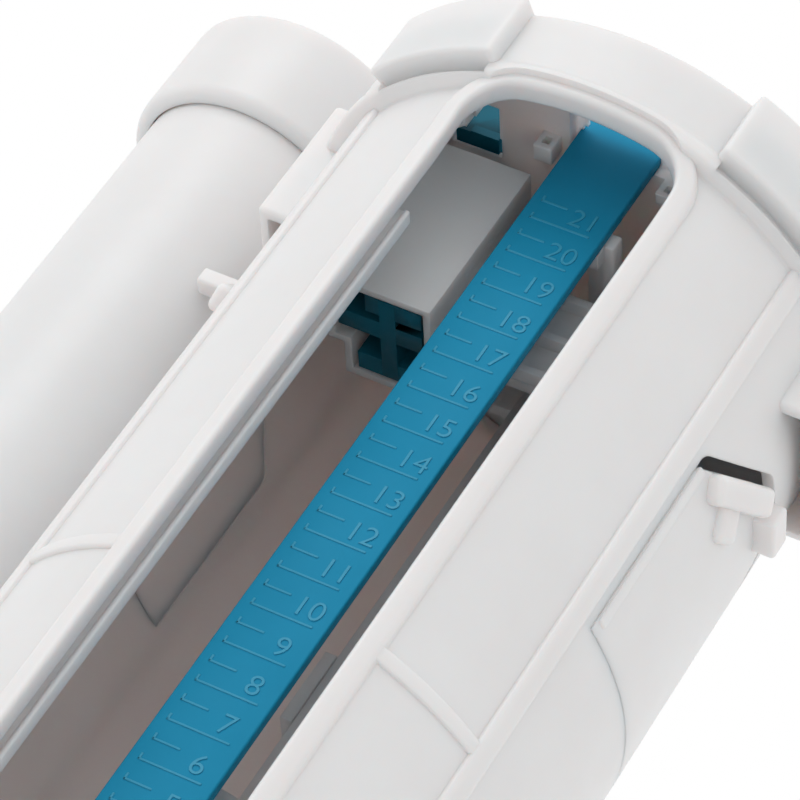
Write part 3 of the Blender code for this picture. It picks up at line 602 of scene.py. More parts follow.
def sector(corners: Sequence[Corner], start: float, end: float, steps: int, edge: float = 0.0) -> Mesh:
    """Part of a turned ring between two azimuths, which are degrees right of the window.

    Args:
        corners: Radius, height and fillet of each corner.
        start: First azimuth.
        end: Last azimuth.
        steps: Facets along it.
        edge: Rounding of its outer edges.

    Returns:
        The closed bmesh.
    """
    bm = bmesh.new()
    profile_face(bm, corners)
    spun(bm, everything(bm), math.radians(end - start), steps)
    bmesh.ops.remove_doubles(bm, verts=bm.verts[:], dist=MERGE_DISTANCE)
    bmesh.ops.recalc_face_normals(bm, faces=bm.faces[:])
    bm.transform(Matrix.Rotation(math.radians(start + AZIMUTH_ZERO), 4, "Z"))
    if edge:
        round_sharp(bm, edge)
    return bm


def round_sharp(bm: Mesh, radius: float) -> None:
    """Round every edge that turns sharply.

    Args:
        bm: The solid.
        radius: Rounding radius.
    """
    bm.normal_update()
    sharp = [e for e in bm.edges if e.is_manifold and e.calc_face_angle(0.0) > math.radians(SHARP_ANGLE)]
    bmesh.ops.bevel(bm, geom=sharp, offset=radius * MM, offset_type="OFFSET", affect="EDGES",
                    segments=FILLET_SEGMENTS, profile=0.5, material=-1, clamp_overlap=True)


def block(x: Limits, y: Limits, z: Limits, edge: float = 0.0, turn: float = 0.0) -> Mesh:
    """A block between limits on each axis, turned about Z.

    Args:
        x: Limits along X.
        y: Limits along Y.
        z: Limits along Z.
        edge: Rounding of its edges.
        turn: Degrees about the tower's axis.

    Returns:
        The closed bmesh.
    """
    bm = bmesh.new()
    bmesh.ops.create_cube(bm, size=1.0)
    size = Vector((x[1] - x[0], y[1] - y[0], z[1] - z[0])) * MM
    middle = Vector((x[1] + x[0], y[1] + y[0], z[1] + z[0])) * (MM / 2)
    bm.transform(Matrix.Translation(middle) @ Matrix.Diagonal(size).to_4x4())
    if edge:
        round_sharp(bm, edge)
    bm.transform(Matrix.Rotation(math.radians(turn), 4, "Z"))
    return bm


def drum(radius: float, z: Limits, steps: int, centre: Limits = (0.0, 0.0)) -> Mesh:
    """A solid upright cylinder.

    Args:
        radius: Its radius.
        z: Its ends.
        steps: Facets round it.
        centre: X and Y of its axis.

    Returns:
        The closed bmesh.
    """
    bm = bmesh.new()
    bmesh.ops.create_cone(bm, cap_ends=True, segments=steps, radius1=radius * MM, radius2=radius * MM,
                          depth=(z[1] - z[0]) * MM)
    bm.transform(Matrix.Translation((centre[0] * MM, centre[1] * MM, (z[0] + z[1]) * MM / 2)))
    return bm


def upright_sheet(half_width: float, z: Limits, corner: float) -> Mesh:
    """A flat upright rectangle with round corners, facing -Y.

    Args:
        half_width: Half its width.
        z: Its lower and upper edge.
        corner: Corner radius.

    Returns:
        A bmesh with that one face.
    """
    bm = bmesh.new()
    spots = [(x, 0.0, h) for x, h in ((-half_width, z[0]), (half_width, z[0]), (half_width, z[1]),
                                      (-half_width, z[1]))]
    fillet(bm, flat_face(bm, spots), corner, SHEET_SEGMENTS)
    return bm


def slot_cutter(half_width: float, z: Limits, corner: float, y: Limits, turn: float = 0.0) -> Mesh:
    """A round-cornered hole through the tower's front, turned about Z.

    Args:
        half_width: Half its width.
        z: Its lower and upper edge.
        corner: Corner radius.
        y: How deep it goes.
        turn: Degrees about the tower's axis.

    Returns:
        The closed bmesh.
    """
    bm = upright_sheet(half_width, z, corner)
    bmesh.ops.translate(bm, verts=bm.verts[:], vec=(0.0, y[0] * MM, 0.0))
    draw_out(bm, (0.0, (y[1] - y[0]) * MM, 0.0))
    bm.transform(Matrix.Rotation(math.radians(turn), 4, "Z"))
    return bm


def gable(outline: Sequence[Corner], x: Limits, side: Side) -> Mesh:
    """A symmetric outline with filleted corners, drawn out along X on one side of the tower.

    Args:
        outline: Y, Z and fillet of each corner.
        x: Where it starts and ends from the axis.
        side: Which side.

    Returns:
        The closed bmesh.
    """
    bm = bmesh.new()
    filleted_face(bm, [(x[0], y, z) for y, z, _ in outline], [f for _, _, f in outline])
    draw_out(bm, ((x[1] - x[0]) * MM, 0.0, 0.0))
    if side is Side.LEFT:
        bm.transform(Matrix.Rotation(math.pi, 4, "Z"))
    return bm


def join_into(whole: Mesh, shape: Mesh) -> None:
    """Add a shape to another bmesh and free it.

    Args:
        whole: Where to add it.
        shape: The shape.
    """
    mesh = bpy.data.meshes.new("join")
    shape.to_mesh(mesh)
    shape.free()
    whole.from_mesh(mesh)
    bpy.data.meshes.remove(mesh)


@dataclass(frozen=True)
class SlopeBlock:
    """A rounded block on a latch's slope, measured out from the skin, down the slope and across it."""

    depth: Limits
    along: Limits
    height: Limits
    rounding: float


@dataclass(frozen=True)
class Latch:
    """A spring latch in each side of the tower: curved tongue, grip on its front slope and thumb block."""

    steps: int = 72
    radius: float = 57.7
    wall: float = 2.6
    half: float = 27.6
    crest: float = 8.0
    root: float = 185.3
    shoulder: float = 229.0
    top: float = 245.8
    head_round: float = 1.5
    left_slots: Limits = (0.2, 0.6)
    right_slots: Limits = (0.35, 3.4)
    root_slot: float = 0.02
    reach: float = 20.0
    spread: float = 31.0
    margin: float = 5.0
    bead_half: float = 1.2
    bead_depth: Limits = (-0.9, 0.55)
    bead_ends: Limits = (2.5, 1.0)
    bead_round: float = 0.7
    slope_inset: float = 1.0
    grip: SlopeBlock = SlopeBlock((-1.2, 4.0), (0.6, 21.6), (-6.2, -0.15), 1.5)
    gusset: SlopeBlock = SlopeBlock((-1.6, 2.4), (9.6, 17.0), (-13.0, -4.0), 1.9)
    thumb_half: float = 5.0
    thumb_height: float = 6.3
    thumb_drop: float = 0.2
    thumb_depth: Limits = (-1.5, 4.6)
    thumb_round: float = 0.9

    def build(self, bench: Bench) -> None:
        """Make both latches.

        Args:
            bench: Where they are made.
        """
        for side in Side:
            steps = bench.tools(Operation.KEEP, [self._prism(side, 0.0, 0.0)])
            steps += bench.tools(Operation.ADD, [self._thumb(side), self._bead(side)])
            steps += bench.tools(Operation.ADD, [self._on_slope(side, b) for b in (self.grip, self.gusset)])
            word = side.name.lower()
            bench.piece(f"latch_{word}", self._tongue(side), WHITE_TONGUE, f"{word}_latch", steps)

    def opening(self, side: Side) -> Mesh:
        """The cutter of the hole that the latch stands in."""
        return self._prism(side, *(self.left_slots if side is Side.LEFT else self.right_slots))

    def _prism(self, side: Side, side_gap: float, head_gap: float) -> Mesh:
        """The latch's outline, grown by a gap at its edges and drawn through the wall.

        Args:
            side: Which side of the tower.
            side_gap: Gap at both sides.
            head_gap: Gap over its head.

        Returns:
            The closed bmesh.
        """
        half = self.half + side_gap
        root = self.root - (self.root_slot if side_gap else 0.0)
        shoulder, top = self.shoulder + head_gap, self.top + head_gap
        bend = self.head_round
        outline = [(-half, root, 0.0), (half, root, 0.0), (half, shoulder, bend), (self.crest, top, bend),
                   (-self.crest, top, bend), (-half, shoulder, bend)]
        return gable(outline, (self.radius - self.reach, self.radius + self.reach), side)

    def _thumb(self, side: Side) -> Mesh:
        """The block that a thumb pulls, at the latch's crest.

        Args:
            side: Which side of the tower.

        Returns:
            The closed bmesh.
        """
        inner, outer = self.thumb_depth
        x = side.limits(self.radius + inner, self.radius + outer)
        z = (self.top - self.thumb_height, self.top - self.thumb_drop)
        return block(x, (-self.thumb_half, self.thumb_half), z, self.thumb_round)

    def _bead(self, side: Side) -> Mesh:
        """The rounded bead along the tongue's front edge.

        Args:
            side: Which side of the tower.

        Returns:
            The closed bmesh.
        """
        azimuth = math.degrees(math.acos((self.half - self.bead_half) / self.radius))
        depth = (self.radius + self.bead_depth[0], self.radius + self.bead_depth[1])
        z = (self.root + self.bead_ends[0], self.shoulder + self.bead_ends[1])
        return block(depth, (-self.bead_half, self.bead_half), z, self.bead_round,
                     side.value * azimuth + AZIMUTH_ZERO)

    def _tongue(self, side: Side) -> Mesh:
        """The curved sheet that the tongue is cut from.

        Args:
            side: Which side of the tower.

        Returns:
            The closed bmesh.
        """
        sheet = ring_profile((self.radius - self.wall, self.radius),
                             (self.root - self.margin, self.top + self.margin))
        middle = 90.0 * side.value
        return sector(sheet, middle - self.spread, middle + self.spread, self.steps)

    def _on_slope(self, side: Side, shape: SlopeBlock) -> Mesh:
        """A rounded block on the front slope of the latch's head.

        Args:
            side: Which side of the tower.
            shape: The block's sizes.

        Returns:
            The closed bmesh.
        """
        crest_y, foot_y = self.crest + self.slope_inset, self.half
        crest_x = math.sqrt(self.radius ** 2 - crest_y ** 2)
        foot_x = math.sqrt(self.radius ** 2 - foot_y ** 2)
        run = math.hypot(foot_y - crest_y, crest_x - foot_x)
        slope = (self.top - self.shoulder) / (self.half - self.crest)
        lean = math.atan2(slope * (foot_y - crest_y), run)
        yaw = math.atan2(crest_x - foot_x, foot_y - crest_y)
        near, far = shape.along
        bm = block(side.limits(*shape.depth), (-far, -near), shape.height, shape.rounding)
        place = Vector((side.value * crest_x, -crest_y, self.top - slope * self.slope_inset)) * MM
        turn = Matrix.Rotation(-side.value * yaw, 4, "Z") @ Matrix.Rotation(lean, 4, "X")
        bm.transform(Matrix.Translation(place) @ turn)
        return bm


@dataclass(frozen=True)
class Tower:
    """The moulded tower: round wall, framed window, ribs, collar with bead, pockets and side pads."""

    steps: int = 216
    radius: float = 57.7
    wall: float = 2.6
    bottom: float = 12.6
    rim: float = 298.0
    rim_slope: float = 1.5
    collar_height: float = 19.6
    collar_radius: float = 61.0
    collar_wall: float = 3.0
    shoulder_drop: float = 17.0
    bead: float = 0.7
    bead_height: float = 3.0
    bead_upper: Limits = (0.6, -0.4)
    bead_lower: Limits = (-0.3, -1.1)
    bite: float = 0.5
    margin: float = 5.0
    window_half: float = 22.9
    window_turn: float = 1.7
    window: Limits = (84.0, 278.0)
    window_corner: float = 9.0
    window_y: Limits = (-90.0, -20.0)
    border: float = 4.5
    border_proud: float = 1.3
    border_top_proud: float = 2.4
    border_rise: Limits = (262.0, 278.5)
    border_depth: float = 3.4
    border_head_depth: float = 2.6
    border_thin: Limits = (258.0, 272.0)
    border_round: float = 1.2
    border_segments: int = 6
    border_step: int = 2
    border_edge_angle: float = 1.0
    rail_edges: Limits = (20.9, 25.4)
    rail_y: Limits = (-46.0, -43.0)
    rail: Limits = (83.0, 248.0)
    rail_bite: float = 0.8
    rail_round: float = 0.5
    rail_bead: float = 1.2
    rail_bead_y: Limits = (-46.6, -43.4)
    rail_bead_round: float = 0.45
    rib_azimuths: tuple[float, ...] = (-53.2, 56.2, 123.8, -123.8)
    rib_width: float = 5.0
    rib_proud: float = 1.2
    rib_lap: float = 1.0
    rib_round: float = 0.95
    cross_rib: float = 147.4
    cross_rib_height: float = 3.4
    cross_rib_proud: float = 0.9
    cross_rib_round: float = 0.7
    cross_rib_steps: int = 24
    inlets: int = 6
    inlet_width: float = 34.0
    inlet: Limits = (36.0, 76.0)
    inlet_y: Limits = (-80.0, -40.0)
    pockets: tuple[Limits, ...] = ((28.0, 58.0), (124.7, 154.7), (-148.0, -118.0), (-48.5, -18.6))
    pocket_steps: int = 30
    pocket_proud: float = 4.2
    pocket_wall: float = 1.8
    pocket_height: float = 17.5
    pocket_drop: float = 0.4
    pocket_round: float = 1.2
    pocket_mouth: Limits = (-1.0, 2.0)
    slit: float = 2.2
    slit_reach: float = 9.0
    slit_inset: float = 1.2
    pad: Limits = (257.0, 290.0)
    pad_room_top: float = 276.0
    pad_root: float = 20.0
    pad_reach: float = 62.5
    pad_half: float = 19.6
    pad_wall: float = 2.3
    pad_rounds: Limits = (1.1, 0.6)
    pad_bores: Limits = (0.4, 0.5)
    rest: Box = ((-75.2, -56.2), (2.0, 6.6), (251.0, 255.0))
    rest_round: float = 0.7
    duct_x: Limits = (30.0, 90.0)
    duct_half: float = 15.0
    duct_top: float = 24.0
    duct_azimuth: float = 163.7
    latch: Latch = Latch()

    def build(self, bench: Bench) -> None:
        """Make the whole moulding.

        Args:
            bench: Where it is made.
        """
        lap = self.border / 2
        window = slot_cutter(self.window_half + lap, (self.window[0] - lap, self.window[1] + lap),
                             self.window_corner + lap, self.window_y, self.window_turn)
        steps = bench.tools(Operation.ADD, self._ribs() + self._pockets())
        steps += [(Operation.ADD, self._pad(bench, side)) for side in Side]
        steps += bench.tools(Operation.CUT, [window])
        steps += bench.tools(Operation.ADD, [self._border()])
        steps += bench.tools(Operation.CUT, self._holes())
        steps += [(Operation.CUT, self._pad_room(bench, side)) for side in Side]
        steps += bench.tools(Operation.ADD, self._rails())
        bench.piece("tower_shell", self._wall(), WHITE, "frame", steps)

    def _wall(self) -> Mesh:
        """The round wall with its collar, bead and inner shoulder.

        Returns:
            The closed bmesh.
        """
        low = self.rim - self.collar_height
        crest = low + self.bead_height
        shoulder = self.rim - self.shoulder_drop
        inside = self.radius - self.wall
        bore = self.collar_radius - self.collar_wall
        swell = self.collar_radius + self.bead
        corners = [(self.collar_radius - self.rim_slope, self.rim, 0.5),
                   (self.collar_radius, self.rim - self.rim_slope, 0.5),
                   (self.collar_radius, crest + self.bead_upper[0], 0.7),
                   (swell, crest + self.bead_upper[1], 0.9), (swell, low + self.bead_lower[0], 1.1),
                   (self.radius, low + self.bead_lower[1], 0.5), (self.radius, self.bottom, 0.3),
                   (inside, self.bottom, 0.3), (inside, shoulder, 0.0), (bore, shoulder, 0.0),
                   (bore, self.rim, 0.4)]
        return turned(corners, self.steps)

    def _border(self) -> Mesh:
        """The raised frame round the window, bent to the tower's round wall.

        Returns:
            The closed bmesh.
        """
        edge = self.window_half + self.border
        z = (self.window[0] - self.border, self.window[1] + self.border)
        front = -self.border_depth * MM
        bm = upright_sheet(edge, z, self.window_corner + self.border)
        bmesh.ops.inset_region(bm, faces=bm.faces[:], thickness=self.border * MM, use_even_offset=True,
                               use_boundary=True)
        middle = max(bm.faces, key=lambda f: len(f.verts))
        bmesh.ops.delete(bm, geom=[middle], context="FACES_ONLY")
        draw_out(bm, (0.0, front, 0.0))
        rim = [e for e in bm.edges if all(abs(v.co.y - front) < PLANE_DISTANCE for v in e.verts)
               and e.calc_face_angle(0.0) > self.border_edge_angle]
        bmesh.ops.bevel(bm, geom=rim, offset=self.border_round * MM, offset_type="OFFSET", affect="EDGES",
                        segments=self.border_segments, profile=0.5, material=-1)
        across = range(-int(edge), int(edge) + 1, self.border_step)
        cuts = [((x, 0.0, 0.0), (1, 0, 0)) for x in across]
        cuts += [((0.0, 0.0, h), (0, 0, 1)) for h in range(int(self.border_thin[0]), int(z[1]))]
        for spot, normal in cuts:
            bmesh.ops.bisect_plane(bm, geom=everything(bm), dist=PLANE_DISTANCE,
                                   plane_co=Vector(spot) * MM, plane_no=normal)
        for vert in bm.verts:
            rise = -vert.co.y / MM / self.border_depth
            depth = self._frame_depth(vert.co.z / MM)
            level = self.radius - depth + rise * (depth + self._lip(vert.co.z / MM))
            vert.co.y = -math.sqrt((level * MM) ** 2 - vert.co.x ** 2)
        bm.transform(Matrix.Rotation(math.radians(self.window_turn), 4, "Z"))
        bmesh.ops.recalc_face_normals(bm, faces=bm.faces[:])
        return bm

    def _lip(self, height: float) -> float:
        """How far the window's frame stands over the wall, up to the collar's level at its top."""
        ease = self._ease(height, self.border_rise)
        return self.border_proud + ease * (self.border_top_proud - self.border_proud)

    def _frame_depth(self, height: float) -> float:
        """How far the window's frame reaches in from the skin, which is less at the window's head."""
        ease = self._ease(height, self.border_thin)
        return self.border_depth + ease * (self.border_head_depth - self.border_depth)

    @staticmethod
    def _ease(height: float, limits: Limits) -> float:
        """A soft step from 0 at the lower limit to 1 at the upper one."""
        share = min(max((height - limits[0]) / (limits[1] - limits[0]), 0.0), 1.0)
        return share * share * (3.0 - 2.0 * share)

    def _ribs(self) -> list[Mesh]:
        """Upright ribs at four azimuths and the cross ribs beside the window.

        Returns:
            The closed bmeshes.
        """
        inner = self.radius - self.wall / 2
        half = self.rib_width / 2
        z = (self.window[0] - self.border, self.rim - self.collar_height + self.rib_lap)
        made = [block((inner, self.radius + self.rib_proud), (-half, half), z, self.rib_round,
                      azimuth + AZIMUTH_ZERO) for azimuth in self.rib_azimuths]
        half = self.cross_rib_height / 2
        bar = ring_profile((inner, self.radius + self.cross_rib_proud),
                           (self.cross_rib - half, self.cross_rib + half), self.cross_rib_round)
        start = math.degrees(math.asin((self.window_half + self.border - self.rib_lap) / self.radius))
        for side, rib in zip(Side, self.rib_azimuths):
            ends = sorted((side.value * start + self.window_turn, rib))
            made.append(sector(bar, *ends, self.cross_rib_steps))
        return made

    def pocket_ends(self, index: int, inset: float) -> Limits:
        """First and last azimuth of a pocket.

        Args:
            index: Which pocket.
            inset: How far in from its ends.

        Returns:
            The two azimuths.
        """
        first, last = self.pockets[index]
        edge = math.degrees(inset / self.collar_radius)
        return first + edge, last - edge

    def _pockets(self) -> list[Mesh]:
        """The swellings of the collar that take the cover's lugs.

        Returns:
            The closed bmeshes.
        """
        bore = self.collar_radius - self.collar_wall + self.bite
        swelling = ring_profile((bore, self.collar_radius + self.pocket_proud),
                                (self.rim - self.pocket_height, self.rim - self.pocket_drop))
        return [sector(swelling, *self.pocket_ends(i, 0.0), self.pocket_steps, self.pocket_round)
                for i in range(len(self.pockets))]

    def _rails(self) -> list[Mesh]:
        """The rails behind the window's edges and the lug that the overflow pipe rests on.

        Returns:
            The closed bmeshes.
        """
        wall = math.sqrt((self.radius - self.wall) ** 2 - self.rail_y[0] ** 2) + self.rail_bite
        made = []
        for side, edge in zip(Side, self.rail_edges):
            made.append(block(side.limits(edge, wall), self.rail_y, self.rail, self.rail_round))
            made.append(block(side.limits(edge, edge + self.rail_bead), self.rail_bead_y, self.rail,
                              self.rail_bead_round))
        made.append(block(*self.rest, self.rest_round))
        return made

    def _pad(self, bench: Bench, side: Side) -> Piece:
        """The housing on the tower's side, still full.

        Args:
            bench: Where it is made.
            side: Which side.

        Returns:
            The housing, bored to the tower's and the collar's inside.
        """
        pad = bench.solid("pad", block(side.limits(self.radius - self.pad_root, self.pad_reach),
                                       (-self.pad_half, self.pad_half), self.pad, self.pad_rounds[0]))
        shoulder = self.rim - self.shoulder_drop
        low = drum(self.radius - self.wall + self.bite,
                   (self.pad[0] - self.margin, shoulder - self.pad_bores[0]), self.steps)
        high = drum(self.collar_radius - self.collar_wall + self.bite,
                    (shoulder - self.pad_bores[1], self.rim), self.steps)
        return bench.work(pad, bench.tools(Operation.CUT, (low, high)))

    def _pad_room(self, bench: Bench, side: Side) -> Piece:
        """The hollow of a housing, open at its bottom.

        Args:
            bench: Where it is made.
            side: Which side.

        Returns:
            The cutter.
        """
        half = self.pad_half - self.pad_wall
        z = (self.pad[0] - self.margin, self.pad_room_top)
        x = side.limits(self.radius - self.pad_root, self.pad_reach - self.pad_wall)
        room = bench.solid("room", block(x, (-half, half), z, self.pad_rounds[1]))
        core = drum(self.radius, (z[0] - self.margin, z[1] + self.margin), self.steps)
        return bench.work(room, bench.tools(Operation.CUT, [core]))

    def _holes(self) -> list[Mesh]:
        """Inlets, pocket rooms and slits, the duct's notch and the latches' openings.

        Returns:
            The cutters.
        """
        low = self.rim - self.pocket_height
        bore = self.collar_radius - self.collar_wall
        slit = ring_profile((self.collar_radius - self.collar_wall / 2, self.collar_radius + self.slit_reach),
                            (low - self.slit, low))
        room = ring_profile((bore + self.pocket_mouth[0],
                             self.collar_radius + self.pocket_proud - self.pocket_wall),
                            (low + self.pocket_wall, self.rim + self.pocket_mouth[1]))
        made = []
        for i in range(len(self.pockets)):
            for shape, inset in ((slit, self.slit_inset), (room, self.pocket_wall)):
                made.append(sector(shape, *self.pocket_ends(i, inset), self.pocket_steps))
        for i in range(self.inlets):
            made.append(slot_cutter(self.inlet_width / 2, self.inlet, self.inlet_width / 4, self.inlet_y,
                                    360.0 * i / self.inlets))
        made.append(block(self.duct_x, (-self.duct_half, self.duct_half),
                          (self.bottom - self.margin, self.duct_top), 0.0, self.duct_azimuth))
        made += [self.latch.opening(side) for side in Side]
        return made


@dataclass(frozen=True)
class Cover:
    """The lid over the head, with lugs in the collar's pockets, plunger ports and the rod's guide clips."""

    steps: int = 180
    top: float = 297.0
    thickness: float = 4.0
    radius: float = 57.7
    skirt: float = 2.4
    skirt_bottom: float = 284.8
    reach: float = 5.0
    lug_steps: int = 24
    lug_radius: float = 63.1
    lug: Limits = (285.3, 291.3)
    lug_root: float = 1.0
    lug_gap: float = 1.5
    lug_round: float = 0.5
    full_port: Port = ((-37.0, -25.4), (-23.4, -18.0))
    full_post: Port = ((-37.0, -25.4), (-12.6, 0.4))
    full_sink: Box = ((-37.0, -16.4), (-23.4, 0.4), (294.3, 305.0))
    full_sights: tuple[Port, ...] = (((-31.2, -25.8), (-32.0, -23.0)), ((-33.6, -25.8), (-27.4, -23.0)))
    half_port: Port = ((16.4, 37.0), (-23.4, 0.4))
    port_round: float = 0.3
    slot: Port = ((-9.15, 9.15), (-31.15, -28.2))
    sight: Port = ((-9.7, 15.5), (-43.5, -29.0))
    sight_slots: tuple[Port, ...] = (((-7.2, 11.0), (-34.5, -30.5)), ((-8.3, 9.1), (-32.4, -30.5)))
    sight_round: float = 0.8
    skin: float = 0.9
    clip_x: Limits = (11.6, 15.8)
    clip_y: Limits = (-30.6, -26.2)
    clip_bottom: float = 288.4
    clip_bite: float = 0.5
    clip_wall: float = 1.3
    clip_mouth: float = 1.0
    clip_rounds: Limits = (0.4, 0.2)
    tower: Tower = Tower()

    def build(self, bench: Bench) -> None:
        """Make the lid.

        Args:
            bench: Where it is made.
        """
        under = self.top - self.thickness
        inside = self.radius - self.skirt
        corners = [(0.0, self.top, 0.0), (self.radius, self.top, 0.8), (self.radius, self.skirt_bottom, 0.4),
                   (inside, self.skirt_bottom, 0.4), (inside, under, 0.5), (0.0, under, 0.0)]
        lug = ring_profile((self.radius - self.lug_root, self.lug_radius), self.lug, self.lug_round)
        inset = self.tower.pocket_wall + self.lug_gap
        add = [sector(lug, *self.tower.pocket_ends(i, inset), self.lug_steps)
               for i in range(len(self.tower.pockets))]
        through = (under - self.reach, self.top + self.reach)
        ports = (self.full_port, self.full_post, *self.full_sights, self.half_port, *self.sight_slots)
        cut = [block(*port, through, self.port_round) for port in ports]
        cut.append(block(*self.full_sink))
        cut.append(block(*self.slot, through, self.port_round))
        cut.append(block(*self.sight, (under - self.reach, self.top - self.skin), self.sight_round))
        for side in Side:
            clip, room = self._clip(side, under)
            add.append(clip)
            cut.append(room)
        steps = bench.tools(Operation.ADD, add) + bench.tools(Operation.CUT, cut)
        bench.piece("head_cover", turned(corners, self.steps), WHITE_SHARP, "frame", steps)

    def _clip(self, side: Side, under: float) -> tuple[Mesh, Mesh]:
        """A guide clip beside the rod.

        Args:
            side: Which side of the rod.
            under: Height of the lid's lower face.

        Returns:
            The full clip and the cutter of its hollow.
        """
        wall = self.clip_wall
        outer, inner = self.clip_rounds
        clip = block(side.limits(*self.clip_x), self.clip_y, (self.clip_bottom, under + self.clip_bite),
                     outer)
        room = block(side.limits(self.clip_x[0] + wall, self.clip_x[1] - wall),
                     (self.clip_y[0] - self.clip_mouth, self.clip_y[1] - wall),
                     (self.clip_bottom + wall, under - wall), inner)
        return clip, room


@dataclass(frozen=True)
class Overflow:
    """The overflow pipe with its wide collar and the seal at its socket."""

    steps: int = 128
    distance: float = 95.2
    azimuth: float = 163.7
    radius: float = 25.3
    wall: float = 2.2
    foot: float = 9.4
    top: float = 320.0
    collar_radius: float = 29.1
    collar: Limits = (296.3, 322.8)
    lip: float = 1.6
    gap: float = 0.3
    seal: Limits = (34.3, 37.3)
    seal_radius: float = 28.8
    seal_rounds: Limits = (0.8, 0.4)

    def centre(self) -> Limits:
        """X and Y of the pipe's axis."""
        turn = math.radians(self.azimuth)
        return self.distance * math.cos(turn), self.distance * math.sin(turn)

    def build(self, bench: Bench) -> None:
        """Make the pipe, its collar and its seal.

        Args:
            bench: Where they are made.
        """
        inner = self.radius - self.wall
        bore = self.radius + self.gap
        seat = self.top + self.gap
        mouth = self.radius - self.lip
        low, high = self.collar
        pipe = [(self.radius, self.top, 0.4), (self.radius, self.foot, 0.6), (inner, self.foot, 0.3),
                (inner, self.top, 0.4)]
        cup = [(self.collar_radius, high, 1.0), (self.collar_radius, low, 3.0), (bore, low, 0.2),
               (bore, seat, 0.0), (mouth, seat, 0.2), (mouth, high, 0.6)]
        ring = ring_profile((bore, self.seal_radius), self.seal, *self.seal_rounds)
        rows = (("overflow_pipe", pipe, WHITE), ("overflow_collar", cup, WHITE),
                ("overflow_seal", ring, RUBBER))
        for node, corners, finish in rows:
            bench.piece(node, turned(corners, self.steps, self.centre()), finish, "frame")


